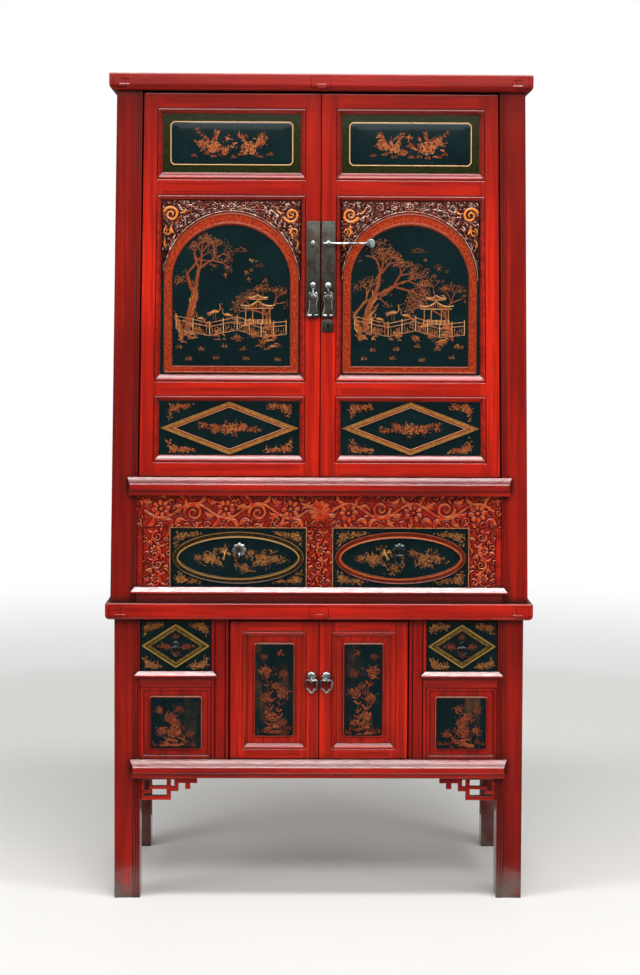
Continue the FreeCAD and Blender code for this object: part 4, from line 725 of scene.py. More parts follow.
def spread(path: Array, across: Array, face_y: float, out: Array) -> Array:
    """Rings of a profile carried round a closed outline in the X and Z plane.

    At each point the two sides meet on the line that halves their angle, and a step across by
    d moves both sides inwards by d: the step is (n1 + n2) / (1 + n1 . n2), with n1 and n2 the
    sides' inward normals.

    Args:
        path: The outline, counter clockwise, as X and Z.
        across: How far in from the outline each point of the profile lies.
        face_y: Where the face is that carries the band.
        out: How far each point of the profile stands out from the face.

    Returns:
        Rings of points.
    """
    sides = np.roll(path, -1, axis=0) - path
    sides = sides / np.linalg.norm(sides, axis=1, keepdims=True)
    normals = np.stack([-sides[:, 1], sides[:, 0]], axis=1)
    before = np.roll(normals, 1, axis=0)
    step = (normals + before) / (1 + np.sum(normals * before, axis=1, keepdims=True))
    flat = path[:, None, :] + step[:, None, :] * across[None, :, None]
    return stood(flat, face_y - out)


def band_profile(width: float, rise: float, ease: float, beads: float,
                 points: int = 13) -> tuple[Array, Array, Array]:
    """A low band's section: eased edges and a bead along each side.

    Height is rise times (1 - beads) + beads times a bump near each edge, and falls to the
    face over the ease on both sides.

    Args:
        width: How wide the band is.
        rise: How far it stands out.
        ease: How far in from the edge it reaches its height.
        beads: Share of the rise that only the beads reach.
        points: How many points run across.

    Returns:
        Distance across, distance out, and one at the beads and zero between them.
    """
    share = (1 - np.cos(np.linspace(0, math.pi, points))) / 2
    across = share * width
    edge = np.minimum(across, width - across)
    bump = np.exp(-((edge - 1.4 * ease) / (0.8 * ease)) ** 2)
    near = np.clip(edge / ease, 0, 1)
    out = rise * (1 - beads + beads * bump) * np.sqrt(near * (2 - near))
    across = np.concatenate([across, [width, 0.0]])
    out = np.concatenate([out, [-SUNK, -SUNK]])
    return across, out, np.concatenate([bump, [1, 1]])


def band(path: Array, face_y: float, width: float, rise: float, ease: float = 1.0, beads: float = 0.3,
         paint: tuple | None = None) -> Shell:
    """A band of even width just inside a closed outline.

    Args:
        path: The outline.
        face_y: Where the face is that carries the band.
        width: How wide the band is.
        rise: How far it stands out.
        ease: How far in from the edge it reaches its height.
        beads: Share of the rise that only its two beads reach.
        paint: Pairs of a share of the width and the paint's number there, or none for the beads'.

    Returns:
        The shell.
    """
    across, out, zone = band_profile(width, rise, ease, beads, 13 if paint is None else 29)
    if paint is not None:
        stops = np.array(paint)
        zone = np.interp(across / width, stops[:, 0], stops[:, 1])
    return skin(spread(path, across, face_y, out), True, zone[None, :])


def cushion(path: Array, face_y: float, rise: float, crown: float, ease: float, foot: float = SUNK) -> Shell:
    """A raised field: rounded at its outline and slightly domed.

    Rings shrink towards the middle of the outline by a share s, and the height at s is
    rise + crown * (1 - s^2), with a quarter round of size ease at the rim.

    Args:
        path: The outline, as X and Z.
        face_y: Where the face is that carries the field.
        rise: How far the field stands out at its rim.
        crown: How much further its middle stands out.
        ease: Radius of the rounded rim.
        foot: How far its skirt is let into the face.

    Returns:
        The shell.
    """
    middle = (path.max(axis=0) + path.min(axis=0)) / 2
    half = (path.max(axis=0) - path.min(axis=0)) / 2
    turn = np.linspace(0, math.pi / 2, 5)
    inset = np.concatenate([[0.0], ease * (1 - np.cos(turn)), np.linspace(ease, half.min(), 12)[1:-1]])
    rim = np.concatenate([[-foot], rise - ease + ease * np.sin(turn), np.full(10, rise)])
    share = 1 - inset / half.min()
    out = rim + np.where(rim > 0, crown * (1 - share ** 2), 0.0)
    shrink = 1 - inset[:, None] / half[None, :]
    flat = middle + (path - middle)[None, :, :] * shrink[:, None, :]
    return skin(stood(flat, (face_y - out)[:, None]))


def rounded_rectangle(x0: float, x1: float, z0: float, z1: float, radius: float, steps: int = 6) -> Array:
    """A counter clockwise rectangle whose corners are quarter circles."""
    turn = np.linspace(0, math.pi / 2, steps)
    corners = []
    for quarter, (x, z) in enumerate(((x1 - radius, z0 + radius), (x1 - radius, z1 - radius),
                                      (x0 + radius, z1 - radius), (x0 + radius, z0 + radius))):
        angle = turn + (quarter - 1) * math.pi / 2
        corners.append((x, z) + radius * ray(angle))
    return np.vstack(corners)


def notched_rectangle(x0: float, x1: float, z0: float, z1: float, notch: float) -> Array:
    """A counter clockwise rectangle with a small hollow step cut out of each corner."""
    turn = np.linspace(0.0, math.pi / 2, 5)
    hollow = notch * (1 - 0.35 * np.sin(2 * turn))
    pieces = []
    for quarter, (x, z) in enumerate(((x1, z0), (x1, z1), (x0, z1), (x0, z0))):
        angle = math.pi - turn + quarter * math.pi / 2
        pieces.append((x, z) + hollow[:, None] * ray(angle))
    return np.vstack(pieces)


def lozenge_path(x: float, z: float, half_length: float, half_height: float, steps: int = 8) -> Array:
    """A counter clockwise lozenge with points along its sides."""
    tips = np.array([[x + half_length, z], [x, z + half_height], [x - half_length, z], [x, z - half_height]])
    share = np.arange(steps)[:, None] / steps
    return np.vstack([tip + (tips[(i + 1) % 4] - tip) * share for i, tip in enumerate(tips)])


def ellipse_path(x: float, z: float, half_length: float, half_height: float, steps: int = 96) -> Array:
    """A counter clockwise ellipse."""
    return (x, z) + ray(once_round(steps)) * (half_length, half_height)


def tube(path: Array, radius: float | Array, closed: bool = False, around: int = 12,
         reference: tuple = (0.0, 1.0, 0.0)) -> Shell:
    """A round bar along a path: at each point a circle square to the path's direction.

    The circle's first axis is the path's direction crossed with a reference that the path
    never runs along, and its second is square to both.

    Args:
        path: Points along the middle.
        radius: The bar's radius, or one for each point.
        closed: Whether the path closes on itself.
        around: How many points go round.
        reference: The direction to cross with.

    Returns:
        The shell.
    """
    if closed:
        along = np.roll(path, -1, axis=0) - np.roll(path, 1, axis=0)
    else:
        along = np.gradient(path, axis=0)
    along = along / np.linalg.norm(along, axis=1, keepdims=True)
    first = np.cross(along, reference)
    first = first / np.linalg.norm(first, axis=1, keepdims=True)
    second = np.cross(along, first)
    angle = once_round(around)
    size = np.broadcast_to(radius, (len(path),))[:, None, None]
    rings = path[:, None, :] + size * (np.cos(angle)[None, :, None] * first[:, None, :]
                                       + np.sin(angle)[None, :, None] * second[:, None, :])
    return skin(rings, closed)


def lathe(profile: Array, middle: Array, axis: int, lobes: int = 0, depth: float = 0.0,
          around: int = 64) -> Shell:
    """A turned shape: a profile of distance along and radius, spun about an axis.

    With lobes the radius at angle a is the profile's times 1 - depth * |sin(lobes * a / 2)|.

    Args:
        profile: Distance along the axis and radius, from one end to the other.
        middle: Where the axis starts.
        axis: Number of the axis, 0 for X, 1 for Y and 2 for Z.
        lobes: How many lobes go round.
        depth: How deep the lobes are, as a share of the radius.
        around: How many points go round.

    Returns:
        The shell.
    """
    angle = once_round(around)
    wave = 1 - depth * (1 - np.abs(np.cos(lobes * angle / 2))) if lobes else np.ones(around)
    radius = profile[:, 1:2] * wave[None, :]
    rings = np.zeros((len(profile), around, 3))
    rings[..., axis] = profile[:, 0:1]
    rings[..., (axis + 1) % 3] = radius * np.cos(angle)
    rings[..., (axis + 2) % 3] = radius * np.sin(angle)
    return skin(rings + middle)


def circle(middle: Array, radius: float, axis: int, points: int = 40) -> Array:
    """Points on a circle square to an axis."""
    angle = once_round(points)
    path = np.zeros((points, 3))
    path[:, (axis + 1) % 3] = radius * np.cos(angle)
    path[:, (axis + 2) % 3] = radius * np.sin(angle)
    return path + middle


def ball(middle: Array, radii: tuple, points: int = 12) -> Shell:
    """An egg: a lathe turned half circle, scaled along each axis."""
    turn = np.linspace(0.0, math.pi, points)[1:-1]
    shell = lathe(np.stack([-np.cos(turn), np.sin(turn)], axis=1), np.zeros(3), 2, around=2 * points)
    return Shell(shell.points * radii + middle, shell.quads, shell.triangles, shell.values)


# Brushwork


class Painting:
    """Brush strokes on a field: each is a bent line with its width, its bluntness and its tone."""

    def __init__(self, seed: int) -> None:
        """Starts an empty field.

        Args:
            seed: Number that settles every chance in the painting.
        """
        self.luck = np.random.default_rng(seed)
        self.strokes: list[Array] = []

    def chance(self, low: float, high: float, count: int | tuple | None = None) -> Array:
        """One or more numbers between two others."""
        return self.luck.uniform(low, high, count)

    def lines(self, start: Array, bend: Array, end: Array, width: object, blunt: object = 1.0,
              tone: object = 0.5) -> None:
        """Adds strokes that leave start, pull towards bend and reach end."""
        start, bend, end = (np.atleast_2d(np.asarray(p, float)) for p in (start, bend, end))
        count = max(len(start), len(end))
        points = [np.broadcast_to(p, (count, 2)) for p in (start, bend, end)]
        extras = [np.broadcast_to(value, (count,)) for value in (width, blunt, tone)]
        self.strokes.append(np.column_stack([*points, *extras]))

    def leaves(self, at: Array, angle: Array, length: object, width: object, tone: object,
               blunt: float = 1.0) -> None:
        """Adds pointed strokes out of given places, each bowed a little to one side."""
        at, angle = np.atleast_2d(at), np.atleast_1d(angle)
        length = np.broadcast_to(length, angle.shape)
        way = ray(angle) * length[:, None]
        bow = self.chance(-0.28, 0.28, len(angle))[:, None] * np.stack([-way[:, 1], way[:, 0]], axis=1)
        self.lines(at, at + way / 2 + bow, at + way, width, blunt, tone)

    def dabs(self, at: tuple, spread: tuple, count: int, size: float, tone: float = 0.35) -> None:
        """Adds short strokes every way round a place, denser towards its middle."""
        turn, reach = self.chance(0, 2 * math.pi, count), self.chance(0, 1, count) ** 0.7
        places = np.array(at, float) + ray(turn) * reach[:, None] * spread
        self.leaves(places, self.chance(0, 2 * math.pi, count), size * self.chance(0.5, 1.3, count),
                    size * 0.3,
                    tone + self.chance(-0.35, 0.35, count), 0.7)

    def blossom(self, at: tuple, radius: float, tone: float = 0.6, petals: int = 7) -> None:
        """Adds a full flower: two rounds of cupped petals with pale rims round a dotted heart."""
        at = np.array(at, float)
        turn = self.chance(0, math.pi)
        for reach, shade, count in ((1.0, tone - 0.25, petals), (0.55, tone - 0.05, petals - 2)):
            angle = turn + (np.arange(count) + self.chance(-0.2, 0.2, count)) * 2 * math.pi / count
            way = ray(angle) * (1, 0.82) * radius * reach
            side = np.stack([-way[:, 1], way[:, 0]], axis=1) * math.pi / count
            self.lines(at + way * 0.35, at + way * 0.65, at + way * 0.9, radius * reach * 0.42, 0.5,
                       shade + self.chance(-0.2, 0.15, count))
            rim, lip = at + way * 0.78, side * 0.8
            self.lines(rim - lip, at + way * 1.2, rim + lip, radius * 0.09, 0.6,
                       tone + self.chance(0.0, 0.4, count))
        self.dabs(at, (radius * 0.2, radius * 0.2), 6, radius * 0.16, 0.9)

    def stem(self, at: tuple, angle: float, length: float, bend: float, width: float = 1.2,
             tone: float = 0.35,
             leaf: float = 9.0, pairs: int = 5) -> Array:
        """Adds a bent stalk with leaves down both sides.

        Args:
            at: Where it starts.
            angle: Which way it starts, in radians.
            length: How long it is.
            bend: How far it turns from start to end, in radians.
            width: How thick it is.
            tone: Its tone.
            leaf: How long its leaves are.
            pairs: How many pairs of leaves it has.

        Returns:
            Its far end.
        """
        steps = np.linspace(0, 1, pairs + 2)
        heading = angle + bend * (steps[:-1] + steps[1:]) / 2
        moves = ray(heading) * length * np.diff(steps)[:, None]
        points = np.vstack([at, np.array(at) + np.cumsum(moves, axis=0)])
        shake = self.chance(-0.03, 0.03, (pairs + 1) * 2).reshape(-1, 2) * length
        middles = (points[1:] + points[:-1]) / 2 + shake
        self.lines(points[:-1], middles, points[1:], width * np.linspace(1.0, 0.6, pairs + 1), 0.3, tone)
        for way in (-1, 1):
            self.leaves(points[1:-1], heading[1:] + way * self.chance(0.5, 1.0, pairs),
                        leaf * self.chance(0.5, 1.0, pairs), leaf * 0.22,
                        tone + self.chance(-0.25, 0.35, pairs))
        return points[-1]

    def peony(self, at: tuple, radius: float, tone: float = 0.6) -> None:
        """Adds a flower among small leaves."""
        self.dabs(at, (radius * 1.7, radius * 1.3), int(16 + radius), radius * 0.55, tone - 0.35)
        self.blossom(at, radius, tone)

    def bush(self, root: tuple, stalks: tuple, flowers: tuple) -> None:
        """Adds stalks that end in flowers, and flowers among them.

        Args:
            root: The place that all others are counted from.
            stalks: Steps across and up, angle, length, bend, width, leaf, pairs, and the
                flower's radius and tone.
            flowers: Steps across and up, and radius.
        """
        x, z = root
        for across, up, angle, length, bend, width, leaf, pairs, radius, tone in stalks:
            tip = self.stem((x + across, z + up), angle, length, bend, width, 0.3, leaf, pairs)
            self.peony(tip, radius, tone)
        for across, up, radius in flowers:
            self.peony((x + across, z + up), radius, self.chance(0.3, 0.6))

    def tree(self, at: tuple, angle: float, length: float, width: float, tone: float, forks: int,
             flower: float) -> None:
        """Adds a crooked mottled trunk that forks again and again and ends in small blossom."""
        end = np.array(at) + length * ray(angle)
        knee = (np.array(at) + end) / 2 + self.chance(-0.2, 0.2, 2) * length
        self.lines(at, knee, end, width, 0.16, tone)
        marks = max(2, int(width * length / 60))
        spots = np.array(at) + (end - at) * self.chance(0.05, 0.95, marks)[:, None]
        spots = spots + self.chance(-0.3, 0.3, (marks, 2)) * width
        self.leaves(spots, angle + self.chance(-0.5, 0.5, marks), width * 0.9, width * 0.16,
                    tone + self.chance(0.1, 0.6, marks))
        if forks == 0:
            self.dabs(end, (flower * 2.2, flower * 1.5), 14, flower * 0.8, 0.4)
            return
        for lean in (-0.7, 0.15, 0.75)[:3 if width < 12 else 2]:
            turn, reach = self.chance(-0.3, 0.3), self.chance(0.55, 0.8)
            self.tree(end, angle + lean + turn, length * reach, width * 0.55, tone, forks - 1, flower)

    def rock(self, at: tuple, wide: float, tall: float) -> None:
        """Adds a garden rock: stacked bent strokes with pale tops."""
        count = 16
        up = self.chance(0, 1, count)
        across = self.chance(-0.5, 0.5, count) * (1.1 - up)
        start = np.array(at) + np.stack([across * wide - 0.12 * wide, up * tall], axis=1)
        reach = np.stack([self.chance(0.15, 0.35, count) * wide, self.chance(-0.06, 0.16, count) * tall],
                         axis=1)
        lift = np.stack([reach[:, 0] / 2, reach[:, 1] + 0.14 * tall], axis=1)
        self.lines(start, start + lift, start + reach, wide * 0.085, 0.4, self.chance(0.05, 0.5, count))
        self.lines(start, start + lift + 1.0, start + reach, wide * 0.022, 0.5, 0.9)

    def railing(self, start: tuple, end: tuple, tall: float, tone: float = 0.55) -> None:
        """Adds a garden balustrade along a slant: three rails, posts and a key pattern between them."""
        start, end = np.array(start, float), np.array(end, float)
        for share in (0.0, 0.7, 1.0):
            self.lines(start + (0, share * tall), (start + end) / 2 + (0, share * tall),
                       end + (0, share * tall), 2.0, 0.1, tone)
        count = max(3, int(abs(end[0] - start[0]) / (0.8 * tall)))
        foot = start + (end - start) * np.linspace(0, 1, count)[:, None]
        self.lines(foot, foot + (0, tall * 0.6), foot + (0, tall * 1.15), 2.4, 0.15, tone + 0.25)
        step = (foot[1] - foot[0]) * 0.2
        for place, low, high in ((1, 0.12, 0.56), (2, 0.12, 0.38), (3, 0.3, 0.56), (4, 0.12, 0.56)):
            base = foot[:-1] + step * place + (0, low * tall)
            self.lines(base, base + (0, (high - low) * tall / 2), base + (0, (high - low) * tall), 1.4, 0.1,
                       tone)
            self.lines(base, base + step / 2, base + step, 1.4, 0.1, tone - 0.1)

    def pavilion(self, at: tuple, wide: float) -> None:
        """Adds a garden pavilion: two swept roofs on posts."""
        x, z = at
        for share, lift in ((1.0, 0.62), (0.6, 0.98)):
            half = wide * share / 2
            eave = z + lift * wide * 0.8
            ridge = eave + wide * share * 0.24
            for way in (-1, 1):
                tip = (x + way * half * 1.08, eave + half * 0.2)
                self.lines((x, ridge), (x + way * half * 0.45, eave + 1), tip, wide * 0.05, 0.3, 0.85)
                spots = np.linspace(0.1, 0.9, 7)
                top = np.stack([x + way * spots * half * 0.55, ridge - spots * half * 0.3], axis=1)
                low = np.stack([x + way * spots * half, np.full(7, eave)], axis=1)
                self.lines(top, (top + low) / 2, low, wide * 0.022, 0.3, 0.45)
            self.lines((x - half, eave), (x, eave - 1), (x + half, eave), wide * 0.035, 0.15, 0.7)
        foot = np.stack([x + wide * np.array([-0.38, -0.16, 0.16, 0.38]), np.full(4, z)], axis=1)
        self.lines(foot, foot + (0, wide * 0.25), foot + (0, wide * 0.5), wide * 0.035, 0.1, 0.6)
        self.railing((x - wide * 0.4, z), (x + wide * 0.4, z), wide * 0.13, 0.6)

    def crane(self, at: tuple, size: float, way: int = 1, tone: float = 0.9) -> None:
        """Adds a standing wading bird: body, tail, bent neck, bill and legs."""
        def spot(across: float, up: float) -> tuple[float, float]:
            """A place on the bird, as shares of its size ahead of and above its middle."""
            return at[0] + way * size * across, at[1] + size * up

        self.lines(spot(-0.3, 0), spot(0, 0.22), spot(0.32, 0.1), size * 0.27, 0.5, tone)
        self.leaves(np.tile(spot(-0.1, 0.02), (6, 1)),
                    math.pi / 2 + way * (math.pi / 2 + np.linspace(-0.25, 0.55, 6)),
                    size * 0.4, size * 0.07, tone - 0.4)
        head = spot(0.36, 0.62)
        self.lines(spot(0.28, 0.12), spot(0.55, 0.3), head, size * 0.07, 0.3, tone)
        self.leaves(head, sideways(way) + way * 0.1, size * 0.26, size * 0.05, 0.5)
        for leg in (-0.06, 0.1):
            self.lines(spot(leg, 0), spot(leg, -0.25), spot(leg + 0.05, -0.5), size * 0.03, 0.2, 0.5)

    def swallow(self, at: tuple, size: float, angle: float, tone: float = 0.8) -> None:
        """Adds a small flying bird: body, two wings and a forked tail."""
        at = np.array(at, float)
        self.leaves(at, angle, size, size * 0.3, tone, 0.7)
        self.leaves(np.tile(at + 0.55 * size * ray(angle), (6, 1)),
                    angle + np.array([1.6, 1.85, 2.1, -1.6, -1.85, -2.1]), size * 0.75, size * 0.13,
                    tone - 0.25)
        self.leaves(np.tile(at, (3, 1)), angle + math.pi + np.array([-0.3, 0.0, 0.3]), size * 0.55,
                    size * 0.1, tone - 0.1)

    def cloud(self, at: tuple, size: float, tone: float = 0.5) -> None:
        """Adds a curled cloud: three arches over a long low line."""
        def spot(across: float, up: float) -> tuple[float, float]:
            """A place in the cloud, as shares of its size from its middle."""
            return at[0] + across * size, at[1] + up * size

        for across, up, wide in ((-0.5, 0.0, 0.42), (-0.12, 0.16, 0.5), (0.34, 0.02, 0.4)):
            left, right = spot(across - wide / 2, up), spot(across + wide / 2, up)
            self.lines(left, spot(across, up + 0.4), right, size * 0.055, 0.35, tone)
            self.lines(right, spot(across + 0.02, up - 0.14), spot(across, up + 0.1), size * 0.045, 0.5,
                       tone - 0.15)
        self.lines(spot(-0.95, -0.06), spot(0, -0.16), spot(1, 0), size * 0.04, 0.6, tone)

    def tufts(self, x0: float, x1: float, z: float, count: int, tall: float, tone: float = 0.4) -> None:
        """Adds tufts of nine uneven blades, in a loose row."""
        at = np.stack([np.linspace(x0, x1, count) + self.chance(-5, 5, count),
                       z + self.chance(-6, 6, count)], axis=1)
        for lean in np.linspace(-1.0, 1.0, 9):
            self.leaves(at + (5.5 * lean, 0), math.pi / 2 - 0.4 * lean + self.chance(-0.12, 0.12, count),
                        tall * (1.1 - 0.5 * lean * lean) * self.chance(0.5, 1.1, count), 1.1,
                        tone + self.chance(-0.15, 0.3, count))

    def corners(self, middle: tuple, away: tuple, radius: float, length: float) -> None:
        """Adds a blossom in each of four corners, with leaves and a stalk along both sides."""
        for way in (-1, 1):
            for up in (-1, 1):
                at = (middle[0] + way * away[0], middle[1] + up * away[1])
                self.peony(at, radius * 1.15, 0.55)
                self.dabs((at[0] - way * length * 0.6, at[1] + up * radius * 0.5), (length * 0.8, radius),
                          46, radius * 0.8, 0.4)
                self.dabs((at[0] + way * radius, at[1] - up * length * 0.25), (radius * 0.8, length * 0.5),
                          22, radius * 0.8, 0.4)
                self.peony((at[0] - way * length * 0.75, at[1] + up * radius * 0.4), radius * 0.6, 0.5)
                self.stem((at[0] - way * 6, at[1] + up * 4), sideways(-way), length, -way * up * 0.08, 1.0,
                          leaf=radius * 0.8, pairs=4)

    def kept(self, inside: object) -> "Painting":
        """Drops the strokes that leave a field: inside tells for X and Z whether they are in it."""
        rows = np.vstack(self.strokes)
        good = np.ones(len(rows), bool)
        for column in (0, 2, 4):
            good &= inside(rows[:, column], rows[:, column + 1])
        self.strokes = [rows[good]]
        return self

    def shell(self, face_y: float, lift: object = None, proud: float = 0.35) -> Shell:
        """All strokes as thin closed ridges.

        Along a stroke t runs from 0 to 1: its middle is (1 - t)^2 start + 2 t (1 - t) bend +
        t^2 end, and its half width is 0.45 width * sin(pi * (0.05 + 0.9 t)) ^ blunt.

        Args:
            face_y: Where the field is.
            lift: How far the field stands out at X and Z, or none for a flat one.
            proud: How far a stroke's crown stands out.

        Returns:
            The shell, with the tone as its number.
        """
        rows = np.vstack(self.strokes)
        t = np.linspace(0, 1, STROKE_POINTS)[None, :, None]
        start, bend, end = (rows[:, None, i:i + 2] for i in (0, 2, 4))
        middle = (1 - t) ** 2 * start + 2 * t * (1 - t) * bend + t ** 2 * end
        along = 2 * (1 - t) * (bend - start) + 2 * t * (end - bend)
        along = along / np.maximum(np.linalg.norm(along, axis=2, keepdims=True), 1e-6)
        side = np.stack([-along[..., 1], along[..., 0]], axis=-1)
        half = rows[:, None, 6:7] * 0.45 * np.sin(math.pi * (0.05 + 0.9 * t)) ** rows[:, None, 7:8]
        flat = np.stack([middle - side * half, middle, middle + side * half], axis=2)
        stand = np.zeros(flat.shape[:3]) if lift is None else lift(flat[..., 0], flat[..., 1])
        later = STROKE_OVERLAP * np.linspace(0, 1, len(rows))[:, None, None]
        out = stand + np.array([STROKE_EDGE, proud, STROKE_EDGE]) + later * np.array([0.0, 1.0, 0.0])
        points = stood(flat, face_y - out)
        one = skin(points[0])
        ends = np.stack([points[:, 0].mean(axis=1), points[:, -1].mean(axis=1)], axis=1)
        count, size = len(rows), len(one.points)
        everything = np.concatenate([points.reshape(count, -1, 3), ends], axis=1).reshape(-1, 3)
        shift = (np.arange(count) * size)[:, None, None]
        return Shell(everything, (one.quads[None] + shift).reshape(-1, 4),
                     (one.triangles[None] + shift).reshape(-1, 3), np.repeat(rows[:, 8], size))


# Carving


def spiral(x: float, z: float, radius: float, start: float, turns: float, width: float,
           hand: int = 1) -> Array:
    """A scroll that winds in: its radius shrinks in step with its angle and its ridge thins."""
    share = np.linspace(0, 1, int(14 * turns) + 4)
    angle = start + hand * share * turns * 2 * math.pi
    reach = radius * (1 - 0.82 * share)
    return np.stack([x + reach * np.cos(angle), z + reach * np.sin(angle), width * (1 - 0.45 * share)],
                    axis=1)


def leaf_ridge(x: float, z: float, angle: float, length: float, width: float, bow: float = 0.25) -> Array:
    """A leaf: a bowed ridge, thin at its root, widest past its middle and pointed at its tip."""
    share = np.linspace(0, 1, 9)
    across = bow * length * np.sin(math.pi * share)
    along = share * length
    return np.stack([x + along * math.cos(angle) - across * math.sin(angle),
                     z + along * math.sin(angle) + across * math.cos(angle),
                     width * np.maximum(np.sin(math.pi * share ** 1.4), 0.12)], axis=1)


def flower_ridges(x: float, z: float, radius: float, petals: int, turn: float = 0.0) -> list[Array]:
    """A rosette: petals round a bead."""
    angles = turn + np.arange(petals) * 2 * math.pi / petals
    ridges = [leaf_ridge(x + 0.3 * radius * math.cos(a), z + 0.3 * radius * math.sin(a), a, 0.7 * radius,
                         radius * 0.26, 0.08) for a in angles]
    bead = np.array([[x - 0.01, z, radius * 0.22], [x + 0.01, z, radius * 0.22]])
    return ridges + [bead]


def wave_ridge(start: tuple, end: tuple, swing: float, waves: float, width: float) -> Array:
    """A vine: a straight line between two places that swings to both sides by a sine."""
    share = np.linspace(0, 1, int(14 * waves) + 2)
    start, end = np.array(start, float), np.array(end, float)
    along = (end - start) / np.linalg.norm(end - start)
    across = swing * np.sin(share * waves * 2 * math.pi)
    line = start + (end - start) * share[:, None] + across[:, None] * np.array([-along[1], along[0]])
    return np.column_stack([line, np.full(len(share), width)])


def carve(x: Array, z: Array, ridges: list[Array]) -> tuple[Array, Array]:
    """How high the ridges stand at each place, and how far the nearest ridge's edge is.

    For each ridge the nearest place on its line gives a distance d and a half width w, and
    its height there is the square root of 1 - (d / w)^2.

    Args:
        x: Places across.
        z: Places up.
        ridges: Lines of X, Z and half width.

    Returns:
        Height from zero to one, and distance outside the nearest edge.
    """
    height = np.zeros(x.shape)
    gap = np.full(x.shape, FAR_FROM_CARVING)
    for ridge in ridges:
        margin = ridge[:, 2].max() + CARVING_REACH
        near = ((x > ridge[:, 0].min() - margin) & (x < ridge[:, 0].max() + margin)
                & (z > ridge[:, 1].min() - margin) & (z < ridge[:, 1].max() + margin))
        if not near.any():
            continue
        places = np.stack([x[near], z[near]], axis=1)[:, None, :]
        start, step = ridge[None, :-1, :2], np.diff(ridge[:, :2], axis=0)[None]
        along = np.sum((places - start) * step, axis=2) / np.maximum(np.sum(step * step, axis=2), 1e-9)
        along = np.clip(along, 0, 1)
        distance = np.linalg.norm(places - start - along[..., None] * step, axis=2)
        half = ridge[None, :-1, 2] + along * np.diff(ridge[:, 2])[None]
        outside = distance - half
        best = np.argmin(outside, axis=1)
        rows = np.arange(len(best))
        share = distance[rows, best] / half[rows, best]
        height[near] = np.maximum(height[near], np.sqrt(np.clip(1 - share ** 2, 0, 1)))
        gap[near] = np.minimum(gap[near], outside[rows, best])
    return height, gap


def packed(x: Array, z: Array, ridges: list[Array], length: float, room: float, seed: int) -> list[Array]:
    """Small scrolls and leaves for the ground that other ridges leave free.

    Each goes to a place drawn from those that lie far enough from every ridge so far.

    Args:
        x: Places across.
        z: Places up.
        ridges: The ridges that are there already.
        length: How long a leaf is.
        room: How far from the ridges so far a place lies, as a share of the length.
        seed: Number that settles every chance.

    Returns:
        The new ridges.
    """
    luck = np.random.default_rng(seed)
    x, z = (v[::SEARCH_STEP, ::SEARCH_STEP].ravel() for v in (x, z))
    _, gap = carve(x, z, ridges)
    made = []
    for number in range(MOST_LEAVES):
        free = np.flatnonzero(gap > room * length)
        if not len(free):
            break
        place = luck.choice(free)
        angle, hand = luck.uniform(0, 2 * math.pi), luck.choice([-1, 1])
        size = length * luck.uniform(0.7, 1.1)
        if number % 3:
            ridge = leaf_ridge(x[place], z[place], angle, size, size * 0.15, 0.3 * hand)
        else:
            ridge = spiral(x[place], z[place], size * 0.42, angle, 1.3, size * 0.11, hand)
        gap = np.minimum(gap, carve(x, z, [ridge])[1])
        made.append(ridge)
    return made


def vine(start: tuple, end: tuple, swing: float, bends: int, size: float) -> list[Array]:
    """A vine whose bends hold a flower and a scroll in turn, each with leaves round it."""
    start, end = np.array(start, float), np.array(end, float)
    way = (end - start) / np.linalg.norm(end - start)
    across, heading = np.array([-way[1], way[0]]), math.atan2(way[1], way[0])
    ridges = [wave_ridge(start, end, swing, bends / 2, size * 0.12)]
    for bend in range(bends):
        hand = -1 if bend % 2 else 1
        x, z = start + (end - start) * (bend + 0.5) / bends - hand * across * swing * 0.25
        if bend % 2:
            ridges.append(spiral(x, z, size * 0.75, heading, 1.5, size * 0.14, hand))
        else:
            ridges += flower_ridges(x, z, size * 0.75, 8, bend)
        for lean in (0.5, 1.7, 2.8, 4.0, 5.3):
            angle = heading + hand * lean
            ridges.append(leaf_ridge(x + size * 0.85 * math.cos(angle), z + size * 0.85 * math.sin(angle),
                                     angle + 0.7 * hand, size * 1.1, size * 0.21, 0.3 * hand))
    return ridges


def carved_sheet(x: Array, z: Array, ridges: list[Array], face_y: float, ground: float, depth: float,
                 groove: float, gilt: tuple = ()) -> Shell:
    """A carved board's face over a grid of places, closed at its back.

    It stands out by ground + depth * height, less a groove beside each ridge that fades
    within a millimetre and a half.

    Args:
        x: Places across, by column and place in the column.
        z: Places up, in the same order.
        ridges: The carving's lines.
        face_y: Where the face is that carries the board.
        ground: How far the ground stands out.
        depth: How much further the ridges stand out.
        groove: How deep the cut beside a ridge is.
        gilt: Ridges that are gilded, which carry their height plus two.

    Returns:
        The shell, with the carving's height as its number.
    """
    height, gap = carve(x, z, ridges + list(gilt))
    cut = np.exp(-((gap - 0.7) / 1.2) ** 2) * (height <= 0)
    out = ground + depth * height - groove * cut
    front = np.stack([x, face_y - out, z], axis=-1)
    back = np.stack([x[:, [-1, 0]], np.full((len(x), 2), face_y + SUNK), z[:, [-1, 0]]], axis=-1)
    # Beside each ridge the number falls towards zero, for the finish's painted shade in the cut.
    tone = np.where(height > 0, 0.35 + 0.65 * height, 0.3 * (1 - np.exp(-(np.clip(gap, 0, None) / 2.2) ** 2)))
    if gilt:
        tone = tone + 2.0 * (carve(x, z, list(gilt))[0] > 0)
    return skin(np.concatenate([front, back], axis=1), False,
                np.concatenate([tone, np.zeros((len(x), 2))], axis=1))


# Sub-assemblies


@dataclass
class Taper:
    """How the upper stage narrows: its half width at its foot, and how much it loses by height."""

    foot_half: float = 489.0
    foot_z: float = 702.0
    slope: float = 0.0138772
    post: float = 60.0

    def body(self, z: float) -> float:
        """Half the width of the upper stage at a height."""
        return self.foot_half - self.slope * (z - self.foot_z)

    def opening(self, z: float) -> float:
        """Half the width between the upper posts at a height."""
        return self.body(z) - self.post


